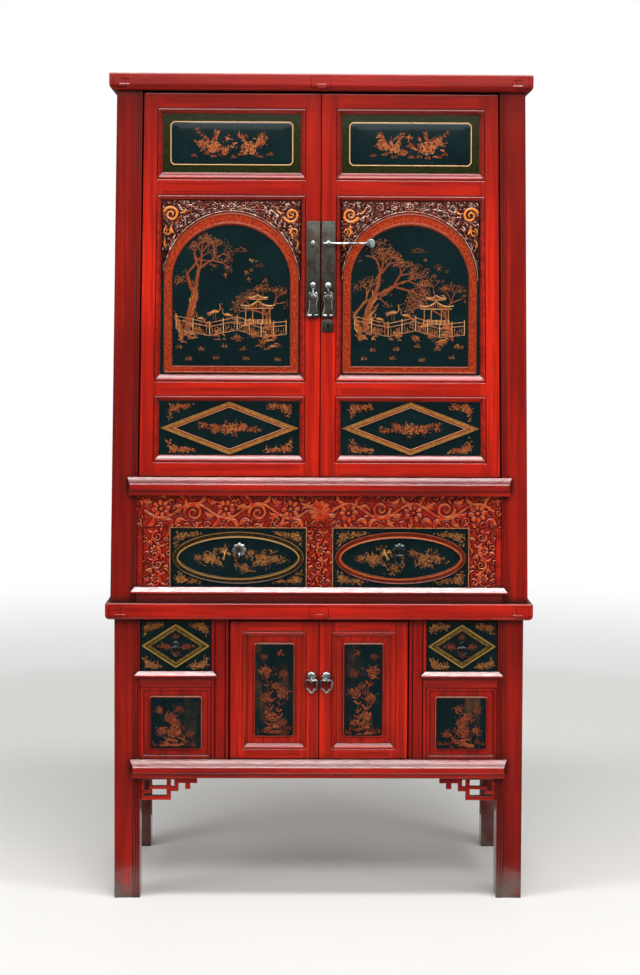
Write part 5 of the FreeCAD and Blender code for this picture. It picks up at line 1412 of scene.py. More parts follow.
TAPER = Taper()


def quad_path(x0: float, low_x1: float, high_x1: float, z0: float, z1: float) -> Array:
    """A counter clockwise outline with upright left side and leaning right side."""
    return np.array([[x0, z0], [low_x1, z0], [high_x1, z1], [x0, z1]])


@dataclass
class Hardware:
    """Bosses, eyes and rings in old brass, which several sub-assemblies carry."""

    eye_radius: float = 4.5
    wire: float = 1.7
    bar: float = 2.1
    drop: float = 0.72

    def boss(self, x: float, face_y: float, z: float, radius: float, rise: float, lobes: int = 8,
             drop: float = drop) -> Shell:
        """A lobed dome with a rim and a crown, and an eye that hangs by a share of the radius.

        The dome's radius at angle a is crown + (radius - crown) * cos a, and it stands out by
        rim + (rise - rim) * sin a.
        """
        turn = np.linspace(0, math.pi / 2, 12)
        crown, rim = 0.34 * radius, 1.2
        across = crown + (radius - crown) * np.cos(turn)
        out = rim + (rise - rim) * np.sin(turn)
        profile = np.column_stack([np.concatenate([[SUNK, 0.0], -out, [-rise - 0.3]]),
                                   np.concatenate([[radius * 0.98, radius], across, [crown * 0.5]])])
        dome = lathe(profile, np.array([x, face_y, z]), 1, lobes, 0.16)
        middle = np.array([x, face_y - rise - self.eye_radius + 0.4, z - drop * radius])
        eye = tube(circle(middle, self.eye_radius, 0), self.wire, True, reference=(1.0, 0.0, 0.0))
        return gathered([dome, eye])

    def hang(self, z: float, radius: float) -> float:
        """The height of the eye under a boss."""
        return z - self.drop * radius

    def ring_path(self, x: float, y: float, z: float, width: float, tall: float) -> Array:
        """The middle line of a cloud shaped ring that hangs from its eye.

        Its right half is a smooth curve through shoulder, lobe, cheek and foot; the left half
        is the mirror image.
        """
        top = z - self.eye_radius + self.wire + self.bar * 1.2
        keys = np.array([[0.0, 0.0], [0.13, -0.02], [0.28, 0.03], [0.44, -0.04], [0.5, -0.2], [0.44, -0.34],
                         [0.45, -0.5], [0.36, -0.68], [0.2, -0.78], [0.13, -0.92], [0.0, -1.0]])
        share = np.linspace(0, len(keys) - 1, 46)
        flat = np.stack([smooth_line(keys[:, k], share) for k in (0, 1)], axis=1)
        right = flat * (width - 2 * self.bar, tall - 2 * self.bar)
        left = right[-2:0:-1] * (-1, 1)
        path = np.vstack([right, left])
        return np.column_stack([x + path[:, 0], np.full(len(path), y), top + path[:, 1]])

    def ring(self, x: float, y: float, z: float, width: float, tall: float) -> Shell:
        """A cloud shaped ring of round wire."""
        return tube(self.ring_path(x, y, z, width, tall), self.bar, True)

    def eye_y(self, face_y: float, rise: float) -> float:
        """Where the middle of an eye stands in front of the face that carries its boss."""
        return face_y - rise - self.eye_radius


def smooth_line(values: Array, share: Array) -> Array:
    """A smooth curve through values at whole numbers.

    Between two values it is the cubic whose slope at each end is half the difference of the
    neighbours on both sides.
    """
    slopes = np.gradient(values)
    low = np.clip(np.floor(share).astype(int), 0, len(values) - 2)
    t = share - low
    return ((2 * t ** 3 - 3 * t ** 2 + 1) * values[low] + (t ** 3 - 2 * t ** 2 + t) * slopes[low]
            + (-2 * t ** 3 + 3 * t ** 2) * values[low + 1] + (t ** 3 - t ** 2) * slopes[low + 1])


HARDWARE = Hardware()


def plate(path: Array, face_y: float, thickness: float, ease: float, values: float = 0.0) -> Shell:
    """A flat plate of any outline with eased front edges."""
    across = np.array([0.0, 0.0, ease * 0.3, ease])
    out = np.array([-SUNK, thickness - ease, thickness - ease * 0.3, thickness])
    rings = np.swapaxes(spread(path, across, face_y, out), 0, 1)
    shell = skin(rings, False, np.array(values))
    return with_flat_ends(shell, rings)


def with_flat_ends(shell: Shell, rings: Array) -> Shell:
    """The shell with its end fans replaced by triangles that fit any outline."""
    around = rings.shape[1]
    flat = [Vector((p[0], p[2], 0.0)) for p in rings[-1].tolist()]
    cap = np.array(tessellate_polygon([flat]), int)
    last = (len(rings) - 1) * around
    return Shell(shell.points[:-2], shell.quads, np.vstack([cap, cap + last]), shell.values[:-2])


@dataclass
class Part:
    """Something on one side of the cabinet: its pieces' names start with its own name."""

    side: Side
    label = "{}"

    @property
    def name(self) -> str:
        """The part's name, with its side's word in it."""
        return self.label.format(self.side.word)

    @property
    def body(self) -> str:
        """The moving body that the part is."""
        return self.name

    def add(self, piece: str, shell: Shell, finish: object, **more) -> bpy.types.Object:
        """Adds a piece to the part, on its own side."""
        return add_piece(f"{self.name}_{piece}", shell.mirrored(self.side), finish, self.body, **more)

    def painted_field(self, box: tuple, face_y: float, rise: float, radius: float,
                      painting: Painting) -> None:
        """Adds a raised black field with rounded corners, a cream line round it, and its painting.

        Args:
            box: Lowest and highest X, then lowest and highest Z.
            face_y: Where the panel's face is.
            rise: How far the field stands out.
            radius: Its corners' radius.
            painting: Its strokes.
        """
        x0, x1, z0, z1 = box
        crown = 1.2
        outer = rounded_rectangle(x0 - 0.3, x1 + 0.3, z0 - 0.3, z1 + 0.3, radius)
        self.add("line", band(outer, face_y, 2.2, rise - 0.6, 0.5, 0.0), CREAM_LINE)
        inner = rounded_rectangle(x0 + 1.0, x1 - 1.0, z0 + 1.0, z1 - 1.0, radius)
        self.add("field", cushion(inner, face_y, rise + 0.2, crown, 1.6), BLACK_RUBBED)
        middle = np.array([(x0 + x1) / 2, (z0 + z1) / 2])
        half = np.array([(x1 - x0) / 2 - 1, (z1 - z0) / 2 - 1])
        field = InnerField(middle, half, rise + 0.2, crown)
        painting.kept(field.holds(3.5))
        self.add("spray", painting.shell(face_y, field.lift), GOLD_RUBBED)

    def lozenge_painting(self, lozenge: "Lozenge", face_y: float, sink: float, spray: tuple, box: tuple,
                         corners: tuple) -> None:
        """Adds the strokes inside a lozenge and those round it.

        Args:
            lozenge: The lozenge's outline.
            face_y: Where the face round the lozenge is.
            sink: How far behind that face the strokes inside start.
            spray: The name, the strokes and the finish inside.
            box: Lowest and highest X, then lowest and highest Z, of the strokes outside.
            corners: The name, the strokes and the finish outside.
        """
        name, painting, paint = spray
        self.add(name, painting.kept(lozenge.holds).shell(face_y - sink), paint)
        name, painting, paint = corners
        x0, x1, z0, z1 = box
        painting.kept(lambda x, z: lozenge.clear_of(x, z) & (x > x0) & (x < x1) & (z > z0) & (z < z1))
        self.add(name, painting.shell(face_y), paint)

    def pull(self, x: float, face_y: float, z: float, radius: float, rise: float, metal: OldMetal,
             ring: tuple | None = None) -> None:
        """Adds a lobed boss and the cloud shaped ring in its eye.

        Args:
            x: Where the boss is across.
            face_y: Where the face is that carries it.
            z: Where it is in height.
            radius: Its radius.
            rise: How far it stands out.
            metal: Its finish and the ring's.
            ring: The ring's width and height, or none for a boss without one.
        """
        where = self.name.rpartition("_")[0]
        boss = HARDWARE.boss(x, face_y, z, radius, rise).mirrored(self.side)
        add_piece(f"{where}_boss_lobed", boss, metal, self.body, stands_for=(f"{where}_boss",))
        if ring:
            wire = HARDWARE.ring(x, HARDWARE.eye_y(face_y, rise), HARDWARE.hang(z, radius), *ring)
            add_piece(f"{where}_ring_wire", wire.mirrored(self.side), metal, f"{where}_ring",
                      stands_for=(f"{where}_ring",))


@dataclass
class Lozenge:
    """A lozenge's middle and half sizes."""

    x: float
    z: float
    half_length: float
    half_height: float
    band: float = 16.0
    clear: float = 5.0

    def reach(self, x: Array, z: Array) -> Array:
        """One on the outline, less inside it and more outside."""
        return np.abs(x - self.x) / self.half_length + np.abs(z - self.z) / self.half_height

    def holds(self, x: Array, z: Array) -> Array:
        """Whether places lie inside the lozenge by more than its band's width."""
        slant = math.hypot(self.half_length, self.half_height)
        length = self.half_length - self.band * slant / self.half_height
        height = self.half_height - self.band * slant / self.half_length
        return np.abs(x - self.x) / length + np.abs(z - self.z) / height < 1

    def clear_of(self, x: Array, z: Array) -> Array:
        """Whether places lie clear of the lozenge."""
        return self.reach(x, z) > 1 + self.clear / self.half_height


@dataclass
class UpperDoor(Part):
    """A tall door: its three panels' paint and carving, its iron plate and its hanging pull."""

    label = "upper_{}_door"
    face: float = -6.0
    panel: float = 2.0
    inner_x: float = 48.0
    outer_frame: float = 48.0
    top: tuple[float, float] = (1704.0, 1839.0)
    arch: tuple[float, float] = (1235.35, 1639.0)
    diamond: tuple[float, float] = (1047.0, 1173.35)
    border: float = 17.0
    notch: float = 7.5
    field_rise: float = 2.5
    arch_inset: float = 3.0
    arch_side: float = 20.0
    arch_crown: float = 30.0
    arch_rise: float = 160.0
    arch_top_margin: float = 26.0
    carving_rise: float = 4.0
    plate: Box = (2.2, 33.2, 1370.0, 1592.0)
    plate_thick: float = 2.0
    ear: float = 2.0
    fitting_x: float = 17.5
    staple_z: float = 1541.0
    boss_z: float = 1443.0
    boss_radius: float = 8.0
    boss_rise: float = 4.0
    nail: tuple[float, float, float] = (1.7, 1.1, 1.7)
    key_drop: float = 17.5
    key_half: float = 13.5

    def outer_x(self, z: float) -> float:
        """The right edge of the panels' visible fields at a height."""
        return TAPER.opening(z) - self.outer_frame

    def build(self) -> None:
        """Makes everything on the door."""
        self.top_panel()
        self.arch_panel()
        self.diamond_panel()
        self.fittings()
        dress(BLACK_GLOSS, f"{self.body}_panels")
        dress(RED_UPPER_DOORS, f"{self.body}_frame")
        dress(RED_LEVEL, f"{self.body}_mouldings")

    def top_panel(self) -> None:
        """Olive bevelled border, cream line, and a black field with two sprays of peonies."""
        z0, z1 = self.top
        path = quad_path(self.inner_x, self.outer_x(z0), self.outer_x(z1), z0, z1)
        across = np.array([0.0, 0.0, self.border, self.border + 9, self.border + 9])
        out = np.array([-SUNK, 0.4, 2.4, 2.45, -SUNK])
        self.add("top_border", skin(spread(path, across, self.panel, out), True), OLIVE)
        x0, x1 = self.inner_x + self.border, self.outer_x((z0 + z1) / 2) - self.border
        z0, z1 = z0 + self.border, z1 - self.border
        outline = notched_rectangle(x0 - 0.2, x1 + 0.2, z0 - 0.2, z1 + 0.2, self.notch)
        self.add("top_line", band(outline, self.panel, 2.6, self.field_rise + 0.55, 0.6, 0.0), CREAM_LINE)
        inner = notched_rectangle(x0 + 1.6, x1 - 1.6, z0 + 1.6, z1 - 1.6, self.notch)
        crown = 1.6
        rise = self.field_rise + 0.35
        self.add("top_field", cushion(inner, self.panel, rise, crown, 1.2), BLACK_GLOSS)
        half = np.array([(x1 - x0) / 2 - 1.6, (z1 - z0) / 2 - 1.6])
        middle = np.array([(x0 + x1) / 2, (z0 + z1) / 2])
        way = self.side.value
        p = Painting(11 + way)
        x, z = middle
        for at, radius in (((x - 42 * way, z - 8), 16), ((x - 68 * way, z - 2), 11),
                           ((x + 40 * way, z - 10), 18),
                           ((x + 66 * way, z + 4), 10), ((x - 16 * way, z - 20), 8)):
            p.peony(at, radius, 0.55)
        for at, angle, length in (((x - 42, z - 14), 2.6, 52), ((x - 34, z), 1.0, 30),
                                  ((x + 30, z - 16), 2.9, 40),
                                  ((x + 44, z), 0.5, 56), ((x + 40, z + 6), 2.0, 24),
                                  ((x - 60, z + 4), 2.1, 24)):
            p.stem(at, angle, length, p.chance(-0.5, 0.5), 1.3, 0.3, 11, 5)
        p.swallow((x - 4 * way, z + 10), 13, 0.9 + 0.5 * way, 0.6)
        p.tufts(x - 84, x + 84, z - 31, 9, 9, 0.3)
        field = InnerField(middle, half, rise, crown)
        p.kept(field.holds(3.0))
        self.add("top_sprays", p.shell(self.panel, field.lift), GOLD_FRESH)

    def arch_outline(self, inset: float, z0: float, rise: float, steps: int = 72) -> Array:
        """A round headed outline: straight sides, and above them half an ellipse."""
        x0, x1 = self.inner_x + inset, self.outer_x(self.arch[1]) - inset
        springing = self.springing
        angle = np.linspace(0, math.pi, steps)
        sides = np.linspace(z0, springing, 9)[:-1]
        right = np.column_stack([np.full(8, x1), sides])
        head = np.column_stack([(x0 + x1) / 2 + (x1 - x0) / 2 * np.cos(angle),
                                springing + rise * np.sin(angle)])
        left = np.column_stack([np.full(8, x0), sides[::-1]])
        return np.vstack([right, head, left])

    @property
    def springing(self) -> float:
        """The height where the arch starts to curve."""
        return self.arch[1] - self.arch_top_margin - self.arch_rise

    def arch_panel(self) -> None:
        """Round headed band, carved corners and a painted garden."""
        z0 = self.arch[0]
        outer = self.arch_outline(self.arch_inset, z0 + self.arch_inset, self.arch_rise)
        inner = self.arch_outline(self.arch_inset + self.arch_side, z0 + self.arch_inset + 17,
                                  self.arch_rise - self.arch_crown)
        across, out, zone = band_profile(1.0, 3.0, 0.09, 0.35, 17)
        share = across[None, :, None]
        flat = outer[:, None, :] * (1 - share) + inner[:, None, :] * share
        rings = stood(flat, self.panel - out)
        self.add("arch_band", skin(rings, True, zone[None, :]), ARCH_RED)
        self.add("corner_carving", self.corner_sheet(), CARVED_GILT,
                 stands_for=(f"{self.body}_arch_carving",))
        painting = self.garden(inner)
        self.add("garden", painting.shell(self.panel), GOLD_GARDEN)

    def corner_sheet(self) -> Shell:
        """The carved ground above the arch, in columns from the arch up to the opening's top."""
        z1 = self.arch[1]
        x0, x1 = self.inner_x + 0.4, self.outer_x(z1) - 0.4
        middle, half = (x0 + x1) / 2, (x1 - x0) / 2
        turn = np.linspace(-math.pi / 2, math.pi / 2, 230)
        x = middle + half * (0.25 * np.sin(turn) + 0.75 * turn / (math.pi / 2))
        reach = half - self.arch_inset + 1.0
        low = self.springing + (self.arch_rise
                                + 0.8) * np.sqrt(np.clip(1 - ((x - middle) / reach) ** 2, 0, 1))
        share = np.linspace(0, 1, 110)[None, :]
        z = low[:, None] + (z1 - 0.3 - low[:, None]) * share
        across = np.broadcast_to(x[:, None], z.shape)
        gilt = []
        for way in (-1, 1):
            corner = middle + way * half
            gilt += [spiral(corner - way * 20, z1 - 32, 18, 0.4 * way, 1.5, 3.6, way),
                     spiral(corner - way * 12, z1 - 72, 9.5, 1.2 * way, 1.4, 2.2, -way),
                     leaf_ridge(corner - way * 24, z1 - 50, -math.pi / 2 - way * 0.2, 30, 3.4, 0.25 * way),
                     leaf_ridge(corner - way * 34, z1 - 26, math.pi / 2 + way * 1.2, 22, 2.8, 0.3 * way),
                     leaf_ridge(corner - way * 9, z1 - 84, -math.pi / 2, 30, 2.6, 0.15 * way)]
        edge = np.column_stack([x, low + 1.6, np.full(len(x), 1.3)])
        ridges = flower_ridges(middle, z1 - 13, 10, 8) + [edge]
        for way in (-1, 1):
            for across_by, down, radius in ((40, 13, 9), (72, 14, 10), (100, 18, 9), (62, 34, 7)):
                ridges.append(spiral(middle + way * across_by, z1 - down, radius, math.pi / 2, 1.5,
                                     radius * 0.18, way))
        ridges += packed(across, z, ridges + gilt, 12.0, 0.14, 40 + self.side.value)
        return carved_sheet(across, z, ridges, self.panel, 1.0, self.carving_rise - 1.0, 0.8, tuple(gilt))

    def garden(self, outline: Array) -> Painting:
        """A garden inside an outline: old trees, a pavilion, a long railing, rocks, cranes and birds."""
        x0, x1 = outline[:, 0].min(), outline[:, 0].max()
        z0 = outline[:, 1].min()
        middle = (x0 + x1) / 2
        wide = x1 - x0
        way = self.side.value
        p = Painting(70 + way)
        left, right = middle - way * 104, middle + way * 100
        ahead = math.pi / 2 - way * 0.25
        p.tree((left, z0 + 84), ahead, 84, 20, 0.15, 4, 5.0)
        p.tree((left - way * 12, z0 + 60), ahead + way * 0.5, 60, 13, 0.25, 3, 5.0)
        p.tree((right, z0 + 60), math.pi / 2 + way * 0.3, 60, 9, 0.15, 3, 5.0)
        p.pavilion((middle + way * 62, z0 + 98), 74)
        places = ((-128, 86), (-50, 70), (14, 84), (70, 68), (128, 74))
        bends = sorted((middle + way * shift, z0 + up) for shift, up in places)
        for shift, up, wide_rock, tall in ((-96, 52, 46, 44), (-30, 60, 34, 26), (84, 40, 54, 52),
                                           (10, 96, 24, 14)):
            p.rock((middle + way * shift, z0 + up), wide_rock, tall)
        for shift, up, size, facing in ((-40, 122, 34, 1), (-8, 116, 28, -1), (34, 92, 30, 1),
                                        (-70, 108, 24, -1)):
            p.crane((middle + way * shift, z0 + up), size, facing * way, 0.65)
        for shift, up, radius in ((-78, 84, 9), (-54, 96, 8), (52, 74, 10), (92, 92, 9), (14, 66, 8),
                                  (-104, 104, 8), (74, 56, 7)):
            p.peony((middle + way * shift, z0 + up), radius, 0.5)
        for start, end in zip(bends, bends[1:]):
            p.railing(start, end, 30, 0.6)
        drift = p.chance(0, 1, (9, 2)) * (112, 92) + (-24, 158)
        for number, (shift, up) in enumerate(drift):
            at = (middle + way * shift, z0 + up)
            if number % 3 == 0:
                p.swallow(at, 9.0, p.chance(0.2, 2.8), 0.6)
            elif number % 3 == 1:
                p.blossom(at, 4.5, 0.5, 5)
            else:
                p.dabs(at, (9, 5), 9, 5.5, 0.45)
        p.cloud((middle + way * 20, z0 + 268), 22, 0.35)
        p.cloud((middle + way * 66, z0 + 232), 16, 0.3)
        for level, count in ((16, 4), (38, 5)):
            p.tufts(x0 + 16 + level, x1 - 54 + level, z0 + level, count, 11, 0.5)
        half, rise = wide / 2 - 4, self.arch_rise - self.arch_crown - 4

        def inside(x: Array, z: Array) -> Array:
            """Whether places lie inside the arch, a few millimetres clear of its band."""
            head = np.clip((z - self.springing) / rise, 0, None)
            return (np.abs(x - middle) < half * np.sqrt(np.clip(1 - head ** 2, 0, 1))) & (z > z0 + 3)

        return p.kept(inside)

    def diamond_panel(self) -> None:
        """Ochre lozenge band with a dark red line, and sprays inside it and in the corners."""
        z0, z1 = self.diamond
        x0, x1 = self.inner_x, self.outer_x(z1)
        x, z = (x0 + (self.outer_x(z0) + x1) / 2) / 2, (z0 + z1) / 2
        lozenge = Lozenge(x, z, x1 - x - 0.8, (z1 - z0) / 2 - 0.9)
        outline = lozenge_path(x, z, lozenge.half_length, lozenge.half_height)
        paint = ((0.0, 0.0), (0.62, 0.0), (0.68, 0.5), (0.84, 0.5), (0.88, 1.0), (1.0, 1.0))
        self.add("lozenge", band(outline, self.panel, 13.0, 3.7, 0.8, 0.12, paint), LOZENGE_GOLD)
        p = Painting(23 + self.side.value)
        p.peony((x, z), 15, 0.55)
        for way in (-1, 1):
            p.stem((x + way * 8, z - 16), math.pi / 2 - way * 0.7, 42, -0.5 * way, 1.2)
            p.stem((x + way * 14, z + way * 3), sideways(way) + 0.1, 62, 0.12 * way, 1.2, pairs=6)
            p.peony((x + way * 32, z - way * 4), 9, 0.45)
            p.dabs((x + way * 60, z + way * 2), (14, 5), 16, 6, 0.35)
        c = Painting(31 + self.side.value)
        c.corners((x, z), (lozenge.half_length * 0.8, lozenge.half_height * 0.76), 8.0, 34.0)
        high = lozenge.half_height - 2
        self.lozenge_painting(lozenge, self.panel, 2.0, ("lozenge_spray", p, GOLD_FRESH),
                              (x0 + 2, x1 - 1, z - high, z + high), ("corner_sprays", c, GOLD_FRESH))

    def fittings(self) -> None:
        """Iron plate with eared ends, its nails, staple, boss and bell shaped pendant."""
        x0, x1, z0, z1 = self.plate
        ear = self.ear
        outline = np.array([[x0, z0], [x1 - ear, z0], [x1 - ear * 0.55, z0 + ear * 0.7], [x1, z0 + ear],
                            [x1, z1 - ear], [x1 - ear * 0.55, z1 - ear * 0.7], [x1 - ear, z1], [x0, z1]])
        shells = [plate(outline, self.face, self.plate_thick, 0.6)]
        front = self.face - self.plate_thick
        for z in (z0 + 13, z0 + 108, z0 + 165, z1 - 13):
            for x in (x0 + 5, x1 - 6):
                shells.append(ball(np.array([x, front, z]), self.nail))
        if self.side is Side.RIGHT:
            eye = (self.fitting_x, z0 - self.key_drop)
            shells.append(self.domed(eye, self.key_half, self.key_half, 0.0, 17.5, self.face,
                                     self.plate_thick, 0.6))
        node = f"upper_{self.side.word}_face_plate"
        self.add("face_plate_worn", gathered(shells), IRON, stands_for=(node,), crease=28)
        staple = np.array([self.fitting_x, front - 8.4, self.staple_z])
        seat = np.array([self.fitting_x, front - 1.2, self.staple_z])
        metal = [tube(circle(staple, 5.4, 0), 1.9, True, reference=(1.0, 0.0, 0.0)),
                 ball(seat, (5.6, 2.6, 6.4)),
                 HARDWARE.boss(self.fitting_x, front, self.boss_z, self.boss_radius, self.boss_rise, 6, 0.0)]
        self.add("staple_and_boss", gathered(metal), OLD_BRASS)
        if self.side is Side.RIGHT:
            # A near black sheet in the keyhole's shape: painted shade for the dark inside it.
            self.add("keyhole", self.domed(eye, 3.4, 1.5, 1.15, 10.0, front, 0.08, 0.03), KEYHOLE_SHADE)
        self.pendant()

    def domed(self, middle: tuple, radius: float, foot: float, past: float, down: float, face_y: float,
              thickness: float, ease: float) -> Shell:
        """A plate whose head is an arc and whose foot is straight: the keyhole's plate and its hole.

        Args:
            middle: The arc's middle.
            radius: The arc's radius.
            foot: Half the foot's width.
            past: How far the arc goes past a half circle at both ends, in radians.
            down: How far the foot lies under the middle.
            face_y: Where the face is that carries it.
            thickness: How thick it is.
            ease: Size of its eased edge.

        Returns:
            The shell.
        """
        x, z = middle
        steps = 23 if past else 19
        head = np.array(middle) + radius * ray(np.linspace(-past, math.pi + past, steps))
        return plate(np.vstack([[[x - foot, z - down], [x + foot, z - down]], head]), face_y, thickness, ease)

    def pendant(self) -> None:
        """The bell shaped pull: a curled collar over a hollow sided body with two feet."""
        eye_y = HARDWARE.eye_y(self.face - self.plate_thick, self.boss_rise)
        eye_z = self.boss_z
        top = eye_z - 4.5 + 4.2 - 22.0
        levels = np.array([6.0, 2.0, -2.5, -6.0, -10.0, -16.0, -24.0, -31.0, -38.0, -43.5, -46.5, -48.6,
                           -49.6])
        widths = np.array([3.6, 7.0, 10.6, 11.4, 10.6, 9.4, 9.0, 9.6, 11.2, 13.4, 13.8, 12.6, 9.8])
        depths = np.array([1.5, 1.7, 2.2, 2.7, 2.8, 2.7, 2.6, 2.5, 2.4, 2.2, 2.0, 1.6, 0.9])
        share = np.linspace(0, len(levels) - 1, 60)
        z, half, deep = (smooth_line(v, share) for v in (levels, widths, depths))
        angle = once_round(40)
        across = np.sign(np.cos(angle)) * np.abs(np.cos(angle)) ** 0.7
        through = np.sign(np.sin(angle)) * np.abs(np.sin(angle)) ** 1.3
        rings = np.stack([self.fitting_x + half[:, None] * across, eye_y + deep[:, None] * through,
                          np.broadcast_to(top + z[:, None], (60, 40))], axis=-1)
        body = f"upper_{self.side.word}_pendant"
        bell = skin(rings).mirrored(self.side)
        add_piece(f"{body}_bell", bell, IRON, body, stands_for=(body,))
        collar_z = top + 2.0
        parts = [tube(circle(np.array([self.fitting_x, eye_y, eye_z - 4.5]), 3.6, 1), 1.25, True)]
        for way in (-1, 1):
            curl = spiral(self.fitting_x + way * 5.4, collar_z - 1.4, 5.2, math.pi / 2, 1.05, 1.7, -way)
            path = np.column_stack([curl[:, 0], np.full(len(curl), eye_y - 1.6), curl[:, 1]])
            parts.append(tube(path, curl[:, 2]))
            rim = np.column_stack([self.fitting_x + way * (half[10:54] - 0.9), np.full(44, eye_y - 1.2),
                                   top + z[10:54]])
            parts.append(tube(rim, 1.25))
            parts.append(ball(np.array([self.fitting_x + way * 7.4, eye_y - 0.6, top - 46.8]),
                              (5.6, 2.8, 3.0)))
        neck = np.array([[self.fitting_x, eye_y, eye_z - 8.4], [self.fitting_x, eye_y, eye_z - 14],
                         [self.fitting_x, eye_y, top - 1]])
        parts.append(tube(neck, np.array([1.8, 2.6, 3.4]), reference=(0.0, 1.0, 0.0)))
        add_piece(f"{body}_collar", gathered(parts).mirrored(self.side), OLD_BRASS, body)


@dataclass
class InnerField:
    """A domed field's middle, half sizes and heights, for paint that lies on it."""

    middle: Array
    half: Array
    rise: float
    crown: float

    def lift(self, x: Array, z: Array) -> Array:
        """How far the field stands out: rise + crown * (1 - s^2), with s the share that its cushion uses."""
        inset = np.minimum(self.half[0] - np.abs(x - self.middle[0]),
                           self.half[1] - np.abs(z - self.middle[1]))
        share = 1 - np.clip(inset, 0, None) / self.half.min()
        return self.rise + self.crown * (1 - share ** 2)

    def holds(self, margin: float) -> object:
        """A test for places that lie inside the field by a margin."""
        return lambda x, z: ((np.abs(x - self.middle[0]) < self.half[0] - margin)
                             & (np.abs(z - self.middle[1]) < self.half[1] - margin))


@dataclass
class LowerDoor(Part):
    """A small door: a raised black field with a tall spray, and its boss and cloud shaped ring."""

    label = "lower_{}_door"
    field: Box = (58.0, 152.1, 383.0, 604.0)
    panel: float = 8.0
    rise: float = 4.0
    radius: float = 5.0
    boss: tuple[float, ...] = (17.5, 0.0, 527.04, 11.0, 5.0)
    ring: tuple[float, float] = (33.5, 33.0)

    def build(self) -> None:
        """Makes everything on the door."""
        x0, x1, z0, _ = self.field
        middle = (x0 + x1) / 2
        p = Painting(101 + self.side.value)
        p.bush((middle, z0), ((12, 8, 1.75, 150, -0.5, 2.2, 20, 7, 14, 0.5),
                              (-10, 12, 1.5, 96, 0.35, 1.9, 18, 5, 12, 0.45)),
               ((18, 92, 12), (-22, 150, 10), (6, 48, 13), (-20, 34, 9), (24, 190, 8), (-4, 120, 9)))
        p.rock((middle, z0 + 4), 52, 26)
        p.tufts(x0 + 10, x1 - 10, z0 + 10, 6, 13, 0.3)
        p.swallow((middle - 18, z0 + 196), 13, 0.6, 0.6)
        self.painted_field(self.field, self.panel, self.rise, self.radius, p)
        dress(RED_LOWER_DOORS, f"{self.name}_frame")
        dress(RED_LOWER_PANELS, f"{self.name}_panel")
        self.pull(*self.boss, OLD_BRASS, self.ring)


@dataclass
class SideBay(Part):
    """The fixed panel beside a lower door: a raised black field with a worn spray."""

    label = "side_bay_{}"
    body = "cabinet"
    field: Box = (275.0, 397.0, 353.0, 478.0)
    panel: float = 6.0
    rise: float = 4.0
    radius: float = 5.0

    def build(self) -> None:
        """Makes the field and its painting."""
        x0, x1, z0, _ = self.field
        middle = (x0 + x1) / 2
        p = Painting(131 + self.side.value)
        p.bush((middle, z0),
               ((-26, 8, 1.2, 78, -0.3, 2.0, 18, 4, 13, 0.5), (24, 10, 1.8, 60, 0.4, 1.8, 16, 4, 11, 0.4)),
               ((4, 42, 15), (-34, 36, 9), (34, 44, 10), (-8, 96, 9), (38, 92, 8)))
        p.rock((middle + 6, z0 + 4), 56, 18)
        p.tufts(x0 + 10, x1 - 10, z0 + 10, 7, 12, 0.3)
        self.painted_field(self.field, self.panel, self.rise, self.radius, p)


